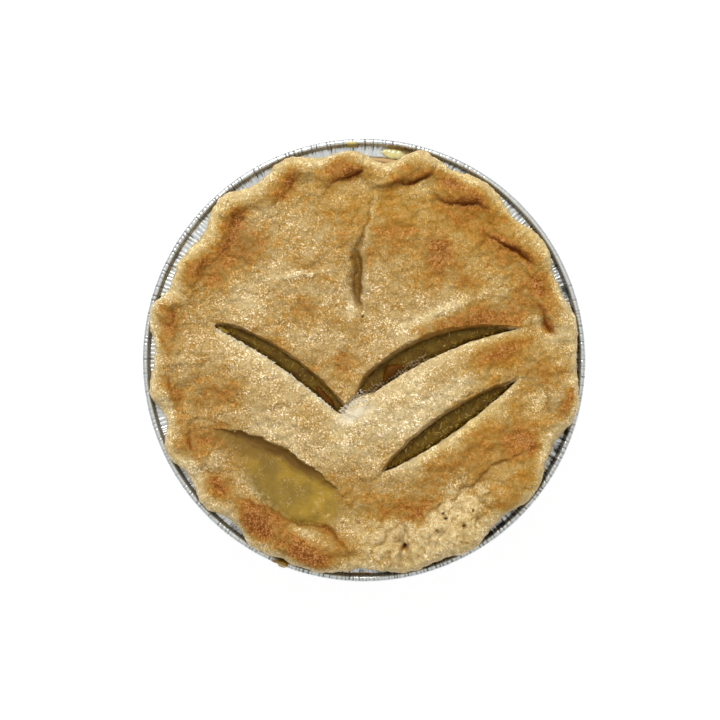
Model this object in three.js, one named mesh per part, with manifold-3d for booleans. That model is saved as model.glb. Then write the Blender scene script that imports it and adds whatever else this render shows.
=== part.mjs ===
// A mini pineapple pie, baked and sold in its own foil tin, in millimetres.
// The pie stands on z = 0 with the tin's axis on +Z. Seen from above with +Y away
// from the viewer, the cuts in the lid make a V that points at the viewer.
// The tin is lined with a bottom crust, filled, and closed with a lid of pastry
// whose edge is rolled and pinched all round on the tin's flange.
import * as THREE from "three";
import { mergeVertices } from "three/addons/utils/BufferGeometryUtils.js";
import Module from "manifold-3d";

const wasm = await Module();
wasm.setup();

const { clamp, lerp, smoothstep, degToRad, euclideanModulo } = THREE.MathUtils;

// The clearance that keeps each piece free of its neighbour.
const GAP = 0.35;

// Foil tin, pressed from one sheet
const TIN_RADIUS = 63.5;
const FOIL = 0.3;
const BEAD = 1;
const BEAD_SIDES = 6;
const BEAD_START = -120;
const BEAD_RISE = 1.2;
const FLANGE_HEIGHT = 26;
const FLANGE_WIDTH = 3.2;
const FLANGE_BEND = 1;
const BASE_RADIUS = 45.2;
const BASE_BEND = 1;
const PANEL_RADIUS = 34;
const PANEL_SLOPE = 1.4;
const PANEL_RISE = 0.8;
const PLEATS = 54;
const PLEAT_DEPTH = 0.9;
const FLANGE_RIPPLE = PLEAT_DEPTH / 8;
const BEAD_RADIUS = TIN_RADIUS - BEAD;
const BEAD_HEIGHT = FLANGE_HEIGHT + BEAD_RISE;
const FLANGE_OUTSIDE = BEAD_RADIUS - BEAD - FOIL;
const FLANGE_INSIDE = FLANGE_OUTSIDE - FLANGE_WIDTH;
const WALL_FOOT = [BASE_RADIUS + BASE_BEND, BASE_BEND];
const WALL_TOP = [FLANGE_INSIDE - FLANGE_BEND, FLANGE_HEIGHT - FLANGE_BEND];
const WALL_LEAN = Math.atan2(WALL_TOP[0] - WALL_FOOT[0], WALL_TOP[1] - WALL_FOOT[1]);

// Bottom crust, a pastry case
const CASE_WALL = 2.6;
const CASE_FLOOR = 2;
const CASE_FILLET = 2;
const CASE_ROUNDING = 0.4;
const CASE_TUCK = 1.6;
const CASE_INSET = FOIL + PLEAT_DEPTH / 2 + GAP;
const CASE_INSIDE = CASE_INSET + CASE_WALL;
const CASE_FLOOR_TOP = PANEL_RISE + FOIL + CASE_FLOOR;
const CASE_REACH = [FLANGE_INSIDE, FLANGE_OUTSIDE - GAP];

// Lid crust
const SEAT = BEAD_HEIGHT + BEAD + GAP;
const LID_THICKNESS = 2.2;
const LID_RADIUS = 49;
const CROWN = 1.9;
const ROLL_WIDTH = 11.3;
const ROLL_SPREAD = 2.8;
const ROLL_BROADEST = degToRad(310);
const ROLL_CREST = 4.6;
const ROLL_HEIGHT = 3.4;
const ROLL_DIP = 1.5;
const EDGE_HEIGHT = 1.2;
const CREASE_SKEW = degToRad(1.4);

// The pinches round the rolled edge, anticlockwise from +X: where each is, in
// degrees, how far its lobe reaches from the axis, how far the edge reaches in
// the dip after it, how deep the pinch is, and how far it lies inside the edge.
const PINCHES = [
  { at: 11, reach: 61.7, dip: 59.2, deep: 2.4, inset: 8.2 },
  { at: 33, reach: 61.4, dip: 59.2, deep: 2.8, inset: 8.2 },
  { at: 55, reach: 61.5, dip: 60, deep: 2.4, inset: 8.2 },
  { at: 74, reach: 61.9, dip: 56.4, deep: 2.6, inset: 7.8 },
  { at: 94, reach: 59.7, dip: 59.2, deep: 2.8, inset: 7 },
  { at: 111, reach: 61.7, dip: 58.8, deep: 2.4, inset: 8 },
  { at: 132, reach: 61.9, dip: 58.2, deep: 2.4, inset: 8.6 },
  { at: 152, reach: 59.7, dip: 59.2, deep: 1.2, inset: 6 },
  { at: 167, reach: 62.8, dip: 59.7, deep: 1.8, inset: 6.4 },
  { at: 188, reach: 61.6, dip: 58.7, deep: 1.8, inset: 6.2 },
  { at: 205, reach: 62.4, dip: 60, deep: 2.2, inset: 6.6 },
  { at: 222, reach: 62, dip: 59.3, deep: 2, inset: 7 },
  { at: 240, reach: 62.3, dip: 61.4, deep: 1.4, inset: 7 },
  { at: 256, reach: 62, dip: 58.9, deep: 1.2, inset: 7 },
  { at: 283, reach: 61.9, dip: 61, deep: 2, inset: 7 },
  { at: 299, reach: 62.4, dip: 59.7, deep: 1.4, inset: 6.6 },
  { at: 322, reach: 61.9, dip: 59.2, deep: 1.2, inset: 7 },
  { at: 347, reach: 62.9, dip: 60.6, deep: 1.8, inset: 8.4 },
];
const PINCH_LENGTH = 4.4;
const PINCH_WIDTH = 1.7;
const PINCH_TILT = degToRad(-18);

// The cuts that let the steam out: two long ones that meet in a V, two below
// them and a short one above. Each follows a bend from end to end, and is at
// its widest nearer its far end where swell is over 1.
const CUTS = [
  { from: [-42.4, 10.6], bend: [-21.9, 2.2], to: [-5.6, -15.6], width: 4.1, swell: 1.5 },
  { from: [-6.9, -14.3], bend: [12.2, 6.6], to: [43.5, 9.5], width: 5, swell: 0.7 },
  { from: [-42.7, -19.5], bend: [-23.3, -25.2], to: [-8, -37.8], width: 2.4, swell: 1.4 },
  { from: [5.4, -32.1], bend: [23.8, -17.7], to: [44.4, -5.3], width: 4.7, swell: 0.9 },
  { from: [-0.7, 32.1], bend: [-2.1, 23], to: [-0.3, 11.5], width: 1.5, swell: 0.9 },
];
const CUT_TIP = 0.5;
const CUT_STEPS = 10;

// Swells and hollows of the lid: centre, half length, half width, the heading
// of the length in degrees, and the height.
const SWELLS = [
  { at: [-27, -12], size: [20, 6], heading: -38, height: 1 },
  { at: [21, -8], size: [22, 5.5], heading: 30, height: 1.1 },
  { at: [26, -28], size: [20, 6.5], heading: 31, height: 0.7 },
  { at: [14, 4], size: [20, 3.5], heading: 33, height: 0.7 },
  { at: [-23, -38], size: [15, 7.5], heading: -28, height: -1.5 },
  { at: [4, 26], size: [3, 14], heading: 8, height: -0.6 },
];

// Filling
const FILLING_SHOULDER = 1.4;
const CHUNK_PITCH = 7.5;
const CHUNK_DEPTH = 0.7;

// How finely the round pieces are faceted
const TIN_SEGMENTS = 2 * PLEATS;
const CASE_SEGMENTS = 72;
const FILLING_SEGMENTS = 48;
const LID_SEGMENTS = 120;
const LID_RINGS = [8, 16, 24, 31, 37, 42, 46];
const UNDER_RINGS = [12, 24, 36, 45];
const ROLL_INSETS = [9.6, 8, 6.4, 4.6, 2.8, 1.3, 0.4];

// A closed solid whose section may change round the axis. section(angle) gives
// its outline as [radius, height] points, from the axis below the piece, round
// its edge and back to the axis above it, with as many points at every angle.
function turned(section, segments) {
  const outline = section(0).map(([radius, height]) => new THREE.Vector2(radius, height));
  const geometry = new THREE.LatheGeometry(outline, segments);
  const { position } = geometry.attributes;
  for (let turn = 0; turn <= segments; turn++) {
    const angle = ((turn % segments) / segments) * 2 * Math.PI;
    section(angle).forEach(([radius, height], point) => {
      const [x, y] = onCircle(radius, angle);
      position.setXYZ(turn * outline.length + point, x, y, height);
    });
  }
  return welded(geometry);
}

// The same faces with shared corners merged, and without those that have no
// area because two of their corners meet on the axis.
function welded(geometry) {
  geometry.deleteAttribute("uv");
  geometry.deleteAttribute("normal");
  const merged = mergeVertices(geometry, 1e-4);
  const faces = [];
  for (let i = 0; i < merged.index.count; i += 3) {
    const corners = [0, 1, 2].map((k) => merged.index.getX(i + k));
    if (new Set(corners).size === 3) faces.push(...corners);
  }
  merged.setIndex(faces);
  return merged;
}

function solidOf(geometry) {
  return new wasm.Manifold(
    new wasm.Mesh({
      numProp: 3,
      vertProperties: new Float32Array(geometry.attributes.position.array),
      triVerts: new Uint32Array(geometry.index.array),
    }),
  );
}

function geometryOf(solid) {
  const { vertProperties, triVerts } = solid.getMesh();
  const geometry = new THREE.BufferGeometry();
  geometry.setAttribute("position", new THREE.BufferAttribute(vertProperties, 3));
  geometry.setIndex(new THREE.BufferAttribute(triVerts, 1));
  return geometry;
}

function onCircle(radius, angle) {
  return [radius * Math.cos(angle), radius * Math.sin(angle)];
}

// The radius of the tin's wall at a height, or of a surface that far inside it.
function wallRadius(height, inset) {
  const climb = (height - WALL_FOOT[1]) * Math.tan(WALL_LEAN);
  return WALL_FOOT[0] + climb - inset / Math.cos(WALL_LEAN);
}

// A smooth hump that is 1 at its centre and fades out over the two half sizes.
function hump(x, y, [centreX, centreY], [length, width], heading) {
  const along = (x - centreX) * Math.cos(heading) + (y - centreY) * Math.sin(heading);
  const across = (y - centreY) * Math.cos(heading) - (x - centreX) * Math.sin(heading);
  return Math.exp(-((along / length) ** 2) - (across / width) ** 2);
}

// The pinch before an angle, the one after it, and the share of the way between.
function pinchesRound(angle) {
  const degrees = euclideanModulo(THREE.MathUtils.radToDeg(angle), 360);
  const next = PINCHES.findIndex((pinch) => pinch.at > degrees);
  const after = PINCHES[next < 0 ? 0 : next];
  const before = PINCHES.at(next < 0 ? -1 : next - 1);
  const span = euclideanModulo(after.at - before.at, 360);
  return { before, after, share: euclideanModulo(degrees - before.at, 360) / span };
}

// How far the rolled edge reaches from the axis.
function edgeRadius(angle) {
  const { before, after, share } = pinchesRound(angle);
  const reach = share < 0.5 ? before.reach : after.reach;
  return lerp(reach, before.dip, 0.5 - 0.5 * Math.cos(2 * Math.PI * share));
}

// The height of the roll above the lid's margin: full over a pinch, less in
// the crease between two. The creases slant, as thumb and finger leave them.
function rollHeight(angle, inset) {
  const { share } = pinchesRound(angle - CREASE_SKEW * (inset - ROLL_CREST));
  return lerp(ROLL_DIP, ROLL_HEIGHT, Math.sqrt(Math.abs(Math.cos(Math.PI * share))));
}

function pinchDepth(x, y) {
  return PINCHES.reduce((depth, { at, deep, inset }) => {
    const angle = degToRad(at + 2);
    const centre = onCircle(edgeRadius(angle) - inset, angle);
    const heading = angle + Math.PI / 2 - PINCH_TILT;
    return depth + deep * hump(x, y, centre, [PINCH_LENGTH, PINCH_WIDTH], heading);
  }, 0);
}

// The underside of the lid: flat on the case's flange, crowned over the filling.
function lidUnderside(x, y) {
  const share = clamp(Math.hypot(x, y) / LID_RADIUS, 0, 1);
  const hollows = SWELLS.filter((swell) => swell.height < 0);
  return SEAT + CROWN * (1 - share ** 2) + relief(x, y, hollows) * (1 - share ** 4);
}

function relief(x, y, swells) {
  return swells.reduce(
    (sum, { at, size, heading, height }) =>
      sum + height * hump(x, y, at, size, degToRad(heading)),
    0,
  );
}

// The share of the roll's height at a distance inside the edge. The roll is
// broadest at the front right, where the most pastry was folded over.
function rollShare(angle, inset) {
  const width = ROLL_WIDTH + ROLL_SPREAD * Math.cos(angle - ROLL_BROADEST);
  return 1 - smoothstep(inset, ROLL_CREST, width);
}

// The upper surface of the lid and its roll, inset from the edge by a distance.
function lidSurface(x, y, inset) {
  const margin = SEAT + LID_THICKNESS;
  const angle = Math.atan2(y, x);
  if (inset < ROLL_CREST) {
    const rounding = Math.sqrt(1 - (1 - inset / ROLL_CREST) ** 2);
    return lerp(SEAT + EDGE_HEIGHT, margin + rollHeight(angle, inset), rounding);
  }
  const roll = rollShare(angle, inset);
  const raised = SWELLS.filter((swell) => swell.height > 0);
  const lid = lidUnderside(x, y) + LID_THICKNESS + relief(x, y, raised) * (1 - roll);
  return lid + rollHeight(angle, inset) * roll - pinchDepth(x, y);
}

// Foil tin: a raised panel in the base, a pleated wall, a flange and a bead
// that is rolled over outwards.
function tinSection(angle) {
  const fold = FOIL / 2;
  const pleat = (Math.cos(PLEATS * angle) * PLEAT_DEPTH) / 2;
  const flange = FLANGE_HEIGHT + Math.cos(PLEATS * angle) * FLANGE_RIPPLE;
  const panelFoot = PANEL_RADIUS + PANEL_SLOPE;
  const bead = Array.from({ length: BEAD_SIDES }, (_, side) => {
    const [out, up] = onCircle(BEAD, degToRad(BEAD_START + (side * 360) / BEAD_SIDES));
    return [BEAD_RADIUS + out, BEAD_HEIGHT + up];
  });
  return [
    [0, PANEL_RISE],
    [PANEL_RADIUS, PANEL_RISE],
    [panelFoot, 0],
    [BASE_RADIUS, 0],
    WALL_FOOT,
    [WALL_TOP[0] + pleat, WALL_TOP[1]],
    [FLANGE_INSIDE, flange],
    [FLANGE_OUTSIDE, flange],
    ...bead,
    [FLANGE_OUTSIDE, flange + FOIL],
    [FLANGE_INSIDE - fold, flange + FOIL],
    [wallRadius(WALL_TOP[1] + fold, FOIL) + pleat, WALL_TOP[1] + fold],
    [wallRadius(BASE_BEND + fold, FOIL), BASE_BEND + fold],
    [BASE_RADIUS - fold, FOIL],
    [panelFoot + fold, FOIL],
    [PANEL_RADIUS + fold, PANEL_RISE + FOIL],
    [0, PANEL_RISE + FOIL],
  ];
}

// Bottom crust: it lines the tin and comes out on the flange, where its thin
// edge shows under the lid wherever the roll has drawn back.
function caseSection(angle) {
  const edge = clamp(edgeRadius(angle) - CASE_TUCK, ...CASE_REACH);
  const lipInside = FLANGE_INSIDE - CASE_INSET;
  const lipFoot = FLANGE_HEIGHT + FOIL + FLANGE_RIPPLE + GAP;
  const lipTop = SEAT - GAP;
  const foot = 2 * BASE_BEND;
  const filletTop = CASE_FLOOR_TOP + CASE_FILLET;
  const filletSide = wallRadius(filletTop, CASE_INSIDE);
  return [
    [0, PANEL_RISE + FOIL + GAP],
    [PANEL_RADIUS + GAP, PANEL_RISE + FOIL + GAP],
    [PANEL_RADIUS + PANEL_SLOPE + GAP, FOIL + GAP],
    [wallRadius(foot, CASE_INSET) - BASE_BEND, FOIL + GAP],
    [wallRadius(foot, CASE_INSET), foot],
    [wallRadius(WALL_TOP[1], CASE_INSET), WALL_TOP[1]],
    [lipInside, lipFoot],
    [edge - CASE_ROUNDING, lipFoot],
    [edge, (lipFoot + lipTop) / 2],
    [edge - CASE_ROUNDING, lipTop],
    [lipInside, lipTop],
    [wallRadius(WALL_TOP[1], CASE_INSIDE), WALL_TOP[1]],
    [filletSide, filletTop],
    [filletSide - CASE_FILLET, CASE_FLOOR_TOP],
    [0, CASE_FLOOR_TOP],
  ];
}

// Filling: it takes up the whole case and swells up under the lid, where the
// tops of the pineapple pieces make it uneven.
function fillingSection(angle) {
  const floor = CASE_FLOOR_TOP + GAP;
  const filletSide = wallRadius(floor + CASE_FILLET, CASE_INSIDE + GAP);
  const side = wallRadius(WALL_TOP[1], CASE_INSIDE + GAP);
  const top = [0, ...UNDER_RINGS].map((radius) => {
    const [x, y] = onCircle(radius, angle);
    const pieces = Math.sin(x / CHUNK_PITCH + 1) * Math.cos(y / CHUNK_PITCH);
    return [radius, lidUnderside(x, y) - GAP - CHUNK_DEPTH * (0.5 + 0.5 * pieces)];
  });
  return [
    [0, floor],
    [filletSide - CASE_FILLET, floor],
    [filletSide, floor + CASE_FILLET],
    [side, WALL_TOP[1]],
    [side - FILLING_SHOULDER / 2, WALL_TOP[1] + FILLING_SHOULDER],
    ...top.reverse(),
  ];
}

// Lid: a sheet of pastry that follows the filling, with a thick rolled edge.
function lidSection(angle) {
  const edge = edgeRadius(angle);
  const under = [0, ...UNDER_RINGS, LID_RADIUS].map((radius) => {
    const [x, y] = onCircle(radius, angle);
    return [radius, lidUnderside(x, y)];
  });
  const rings = [0, ...LID_RINGS, ...ROLL_INSETS.map((inset) => edge - inset)];
  const upper = rings.map((radius) => {
    const [x, y] = onCircle(radius, angle);
    return [radius, lidSurface(x, y, edge - radius)];
  });
  return [
    ...under,
    [edge - EDGE_HEIGHT, SEAT],
    [edge, SEAT + EDGE_HEIGHT / 2],
    ...upper.reverse(),
  ];
}

// The outline of a cut, wide in its middle and narrow at both ends.
function cutOutline({ from, bend, to, width, swell }) {
  const [start, middle, end] = [from, bend, to].map(([x, y]) => new THREE.Vector2(x, y));
  const path = new THREE.QuadraticBezierCurve(start, middle, end);
  const sides = [[], []];
  for (let step = 0; step <= CUT_STEPS; step++) {
    const share = step / CUT_STEPS;
    const point = path.getPointAt(share);
    const along = path.getTangentAt(share);
    const half = (CUT_TIP + (width - CUT_TIP) * Math.sin(Math.PI * share ** swell)) / 2;
    const across = new THREE.Vector2(-along.y, along.x).multiplyScalar(half);
    sides[0].push(point.clone().sub(across));
    sides[1].unshift(point.clone().add(across));
  }
  return new THREE.Shape(sides.flat());
}

function lidGeometry() {
  const blade = { depth: 2 * (ROLL_HEIGHT + LID_THICKNESS + CROWN), bevelEnabled: false };
  return geometryOf(
    CUTS.reduce((lid, cut) => {
      const slice = new THREE.ExtrudeGeometry(cutOutline(cut), blade);
      slice.translate(0, 0, SEAT - blade.depth / 2);
      return lid.subtract(solidOf(welded(slice)));
    }, solidOf(turned(lidSection, LID_SEGMENTS))),
  );
}

function piece(name, geometry, material) {
  const mesh = new THREE.Mesh(geometry, new THREE.MeshStandardMaterial(material));
  mesh.name = name;
  geometry.computeVertexNormals();
  return mesh;
}

const pie = new THREE.Group();
pie.name = "mini_pineapple_pie";
pie.add(
  piece("foil_tin", turned(tinSection, TIN_SEGMENTS), {
    color: 0xc9cbcc,
    metalness: 1,
    roughness: 0.3,
  }),
  piece("bottom_crust", turned(caseSection, CASE_SEGMENTS), {
    color: 0xd2aa6c,
    metalness: 0,
    roughness: 0.75,
  }),
  piece("pineapple_filling", turned(fillingSection, FILLING_SEGMENTS), {
    color: 0xa07a26,
    metalness: 0,
    roughness: 0.25,
  }),
  piece("lid_crust", lidGeometry(), {
    color: 0xc09458,
    metalness: 0,
    roughness: 0.6,
  }),
);

export default pie;
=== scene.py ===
import bpy
import numpy as np
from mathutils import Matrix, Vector, noise


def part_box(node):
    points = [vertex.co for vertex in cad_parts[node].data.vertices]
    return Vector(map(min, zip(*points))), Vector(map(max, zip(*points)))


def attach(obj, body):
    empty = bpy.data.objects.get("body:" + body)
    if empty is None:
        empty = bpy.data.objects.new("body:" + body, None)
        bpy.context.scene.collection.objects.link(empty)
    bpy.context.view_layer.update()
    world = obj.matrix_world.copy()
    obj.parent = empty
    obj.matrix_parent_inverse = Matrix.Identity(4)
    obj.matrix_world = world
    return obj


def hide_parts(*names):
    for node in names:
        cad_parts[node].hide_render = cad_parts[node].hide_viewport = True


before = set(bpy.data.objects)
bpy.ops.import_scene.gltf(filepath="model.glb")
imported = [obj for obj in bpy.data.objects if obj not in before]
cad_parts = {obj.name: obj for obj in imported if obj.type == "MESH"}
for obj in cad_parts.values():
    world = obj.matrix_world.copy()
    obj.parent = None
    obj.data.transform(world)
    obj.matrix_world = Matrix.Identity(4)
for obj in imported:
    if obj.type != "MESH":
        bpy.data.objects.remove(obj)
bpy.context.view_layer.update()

# Foil tin
# A 5 inch pie tin pressed from one sheet of thin aluminium. The press gathers the foil into
# fine pleats, sharp on the flange and fading down the wall, and rolls the edge into a bead.
MM = 0.001
tin_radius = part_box("foil_tin")[1].x / MM
foil = 0.2
bead = 1.0
bead_radius = tin_radius - bead
bead_height = 27.2
flange_height = 26.0
flange_outside = bead_radius - bead - 0.2
flange_inside = 58.0
wall_top = (57.0, 25.0)
wall_foot = (46.2, 1.0)
base_radius = 45.2
panel_radius = 34.0
panel_slope = 1.4
panel_rise = 0.8
flutes = 54
flute_depth = 0.4
pleats = 340
pleat_depth = 0.34
notch_depth = 0.26
foil_colour = (0.78, 0.81, 0.80, 1.0)
# The dark colour painted in the foil's folds, as painted shade and reflection.
fold_shade_colour = (0.045, 0.045, 0.040, 1.0)
foil_grime = (0.34, 0.25, 0.12, 1.0)

# How the foil stands at four places across one pleat, and how far the bead is notched there.
pleat_shape = (-1.0, 0.1, 1.0, 0.5)
notch_shape = (1.0, 0.15, 0.0, 0.25)

# Where the bead is smooth, as angle in degrees, spread and amount, where the flange is left bare of
# painted shade, and which side of the rim is painted darkest, as painted shade and reflection.
calm_places = [(42, 28, 1), (200, 30, 0.7)]
bare_side, bare_spread = 268, 10
dark_side = np.radians(-40)


class Wire:
    """A socket of a material. Arithmetic on it adds Math nodes, and node() adds any other."""

    def __init__(self, tree, socket=None):
        self.tree = tree
        self.socket = socket

    def node(self, kind, settings=(), values=(), output=0):
        """A new node: its settings first, then the numbers or wires of its sockets."""
        made = self.tree.nodes.new("ShaderNode" + kind)
        for name, value in dict(settings).items():
            if name == "stops":
                set_stops(made.color_ramp, value)
            else:
                setattr(made, name, value)
        for name, value in dict(values).items():
            if isinstance(value, Wire):
                self.tree.links.new(value.socket, made.inputs[name])
            else:
                made.inputs[name].default_value = value
        return Wire(self.tree, made.outputs[output])

    def maths(self, operation, first, second):
        return self.node("Math", {"operation": operation}, {0: first, 1: second})

    def __add__(self, other):
        return self.maths("ADD", self, other)

    def __sub__(self, other):
        return self.maths("SUBTRACT", self, other)

    def __rsub__(self, other):
        return self.maths("SUBTRACT", other, self)

    def __mul__(self, other):
        return self.maths("MULTIPLY", self, other)

    __radd__ = __add__
    __rmul__ = __mul__

    def step(self, low, high):
        """0 below low and 1 above high, with a smooth rise between."""
        values = {"Value": self, "From Min": low, "From Max": high}
        return self.node("MapRange", {"interpolation_type": "SMOOTHSTEP"}, values)

    def tint(self, first, second, how="MIX"):
        """The first colour where the wire is 0 and the second, or its blend, where it is 1."""
        settings = {"data_type": "RGBA", "blend_type": how}
        return self.node("Mix", settings, {0: self, 6: first, 7: second}, output=2)

    def grain(self, size, detail=2.0, roughness=0.5, distortion=0.0):
        """Noise from 0 to 1 at the place that the wire holds, with lumps of a size in mm."""
        values = {
            "Vector": self,
            "Scale": 1 / (size * MM),
            "Detail": detail,
            "Roughness": roughness,
            "Distortion": distortion,
        }
        return self.node("TexNoise", {}, values)

    def painted(self, name):
        """A value painted on the mesh, point by point."""
        return self.node("Attribute", {"attribute_name": name}, output="Fac")

    def bumped(self, depth, under=None):
        """The normal of a surface that rises by this wire times a depth in mm."""
        values = {"Height": self, "Distance": depth * MM, "Strength": 1.0}
        if under is not None:
            values["Normal"] = under
        return self.node("Bump", {}, values, output="Normal")

    def ramp(self, *stops):
        """The colour along the wire, between stops that are each a position and a colour."""
        return self.node("ValToRGB", {"stops": stops}, {"Fac": self})


def set_stops(ramp, stops):
    """Give a colour ramp its stops, each a position and a colour."""
    while len(ramp.elements) < len(stops):
        ramp.elements.new(0.5)
    for element, (position, colour) in zip(ramp.elements, stops):
        element.position = position
        element.color = colour


def new_finish(name, constants):
    """A material, its shader, and the object's own place as the wire to start from."""
    made = bpy.data.materials.new(name)
    made.use_nodes = True
    shader = made.node_tree.nodes["Principled BSDF"]
    for socket, value in constants.items():
        shader.inputs[socket].default_value = value
    place = Wire(made.node_tree).node("TexCoord", output="Object")
    return made, shader, place


def connect(shader, wires):
    for socket, wire in wires.items():
        wire.tree.links.new(wire.socket, shader.inputs[socket])


def placed(name, data):
    """An object that shows some data, linked into the scene."""
    made = bpy.data.objects.new(name, data)
    bpy.context.scene.collection.objects.link(made)
    return made


def new_piece(name, points, faces, finish):
    """A mesh from points in mm, smooth shaded."""
    mesh = bpy.data.meshes.new(name)
    mesh.from_pydata((np.asarray(points) * MM).tolist(), [], faces)
    mesh.polygons.foreach_set("use_smooth", np.ones(len(mesh.polygons), bool))
    mesh.materials.append(finish)
    return placed(name, mesh)


def paint(made, name, values):
    layer = made.data.attributes.new(name, "FLOAT", "POINT")
    layer.data.foreach_set("value", np.asarray(values, np.float32))


def points_of(made):
    """The places of a mesh's points, in mm."""
    places = np.empty(len(made.data.vertices) * 3)
    made.data.vertices.foreach_get("co", places)
    return places.reshape(-1, 3) / MM


def rough(points, size, octaves=3, shift=0.0):
    """Noise of about -1 to 1 at points in mm, with its largest lumps of a size in mm."""
    moved = np.asarray(points) / size + shift
    return np.array([noise.fractal(Vector(p), 1.0, 2.0, octaves) for p in moved])


def bell(value):
    """1 where a value is 0, falling away on both sides of that."""
    return np.exp(-(value**2))


def faces_between(rings, count):
    """Faces from ring to ring, where each ring has a count of points."""
    here = np.arange(count)
    after = np.roll(here, -1)
    band = np.stack((here, after, after + count, here + count), 1)
    return np.concatenate([band + ring * count for ring in range(rings - 1)]).tolist()


def turned_solid(rings, low, high):
    """Points and faces of a solid from rings of points, from its lowest point on the axis,
    out round its edge and back to its highest point on the axis."""
    count = len(rings[0])
    here = np.arange(count)
    after = np.roll(here, -1)
    last, low_index = (len(rings) - 1) * count, np.full(count, len(rings) * count)
    faces = faces_between(len(rings), count) + np.stack((low_index, after, here), 1).tolist()
    faces += np.stack((here + last, after + last, low_index + 1), 1).tolist()
    return np.concatenate([*rings, [low, high]]), faces


def on_ring(angle, radius, height):
    radius, height = np.broadcast_to(radius, angle.shape), np.broadcast_to(height, angle.shape)
    return np.stack((radius * np.cos(angle), radius * np.sin(angle), height), 1)


def wall_radius(height, inset=0.0):
    """The radius of the tin's wall at a height, or of a surface that far inside it."""
    run, climb = wall_top[0] - wall_foot[0], wall_top[1] - wall_foot[1]
    return wall_foot[0] + (height - wall_foot[1]) * run / climb - inset * np.hypot(1, run / climb)


draw = np.random.default_rng(7)
widths = draw.uniform(0.55, 1.45, pleats)
starts = np.concatenate(([0], np.cumsum(widths)[:-1])) / widths.sum()
steps = np.arange(len(pleat_shape)) / len(pleat_shape)
turn = (starts[:, None] + steps * (widths / widths.sum())[:, None]).ravel() * 2 * np.pi
strength = draw.uniform(0.35, 1.0, pleats)
pleat = (np.array(pleat_shape) * strength[:, None]).ravel()
reach = np.repeat(draw.uniform(0.15, 1.0, pleats), len(pleat_shape))
notch = (np.array(notch_shape) * draw.uniform(0.1, 1.0, pleats)[:, None] ** 1.5).ravel()
calm = sum(amount * bell((np.degrees(turn) - at) / spread) for at, spread, amount in calm_places)
notch *= 1 - 0.85 * calm
flute = np.cos(flutes * turn + 2 * np.sin(5 * turn) + np.sin(3 * turn))
wander = rough(on_ring(turn, 6, 0), 1.0, 3)

# Painted shade and reflection in the folds of the rim: how dark the foil is painted, in broken
# bands, darker on one side and bare in one place.
streak = rough(on_ring(turn, 62, 0), 0.7, 3)
gleam = np.repeat(draw.uniform(0, 1, pleats), len(pleat_shape))
band_inside = 60.5 + 0.9 * streak + 0.5 * wander
tick_inside = np.repeat(draw.uniform(59.4, 61.9, pleats), len(pleat_shape))
shaded_side = np.clip(0.45 + 0.55 * np.cos(turn - dark_side), 0.15, 1)
segment = np.clip(0.6 + 3 * rough(on_ring(turn, 62, 0), 0.6, 2, 5.0), 0, 1)
bare = bell((np.degrees(turn) - bare_side) / bare_spread)
shadow = (0.35 + 0.6 * shaded_side) * segment
dark = shadow * (1 - 0.8 * bare) + 0.3 * shaded_side * gleam - 0.15 * pleat
skin, creased = [], []


def lay(radius, height, crease=0.0):
    """Add a ring to the skin of the tin, with how dark its foil is painted as shade and reflection."""
    skin.append(on_ring(turn, radius, height))
    creased.append(np.clip(np.broadcast_to(crease, turn.shape), 0, 1))


def lay_wall(height, inset=0.0):
    """Add a ring to the wall, with soft flutes and pleats as far down as they reach, and painted shade on
    the pleats.
    """
    share = (height - wall_foot[1]) / (wall_top[1] - wall_foot[1])
    fade = np.clip((share - reach + 0.25) / 0.5, 0, 1)
    fold = flute * flute_depth * np.clip(4 * share, 0, 1) + pleat * pleat_depth * 0.55 * fade
    lay(wall_radius(height, inset) + fold, height, -0.35 * pleat * fade)


lay(panel_radius * 0.5, panel_rise)
lay(panel_radius, panel_rise)
lay(panel_radius + panel_slope / 2, panel_rise / 2)
lay(panel_radius + panel_slope, 0)
lay(base_radius - 0.6, 0)
lay(base_radius, 0.06)
lay(base_radius + 0.6, 0.35)
for height in np.linspace(wall_foot[1], wall_top[1], 12):
    lay_wall(height)
lay(flange_inside - 0.35 + pleat * pleat_depth / 2, flange_height - 0.3)
flange_lift = pleat * pleat_depth * 0.35 + wander * 0.12
for radius in np.linspace(flange_inside, flange_outside, 5):
    lay(radius, flange_height + flange_lift, -0.35 * pleat)
pinch = 1 - notch_depth * notch * (1 + wander) + 0.03 * wander
# Dark ticks are painted in the bead's notches and dark bands on its inner side, as painted shade and
# reflection.
for degrees in (-115, -80, -45, -15, 15, 45, 70, 95, 120, 150, 185):
    out, up = bead * np.cos(np.radians(degrees)), bead * np.sin(np.radians(degrees))
    inner = np.clip(-1.6 * out / bead - 0.8 * (1 - shaded_side), 0, 1)
    crease = 1.3 * notch * (1 - inner) + inner * dark
    lay(bead_radius + out * pinch + 0.13 * pleat * inner, bead_height + up * pinch, crease)
# The flange is painted dark in bands, ticks and pleats, as painted shade and reflection of its folds.
for radius in (flange_outside, flange_outside - 0.25, 60.4, 59.6, 58.8, flange_inside - 0.2):
    band = shadow * (radius > band_inside) * (1 - 0.7 * bare)
    tick = 1.5 * notch * (radius > tick_inside)
    crease = band + shaded_side * (0.15 + 0.5 * gleam) + 0.5 * streak + tick - 0.15 - 0.1 * bare
    lay(radius, flange_height + foil + flange_lift, crease)
for height in (wall_top[1], 17.0, 9.0, wall_foot[1] + foil):
    lay_wall(height, foil)
lay(base_radius, foil)
lay(panel_radius + panel_slope + foil, foil)
lay(panel_radius + foil, panel_rise + foil)

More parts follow.
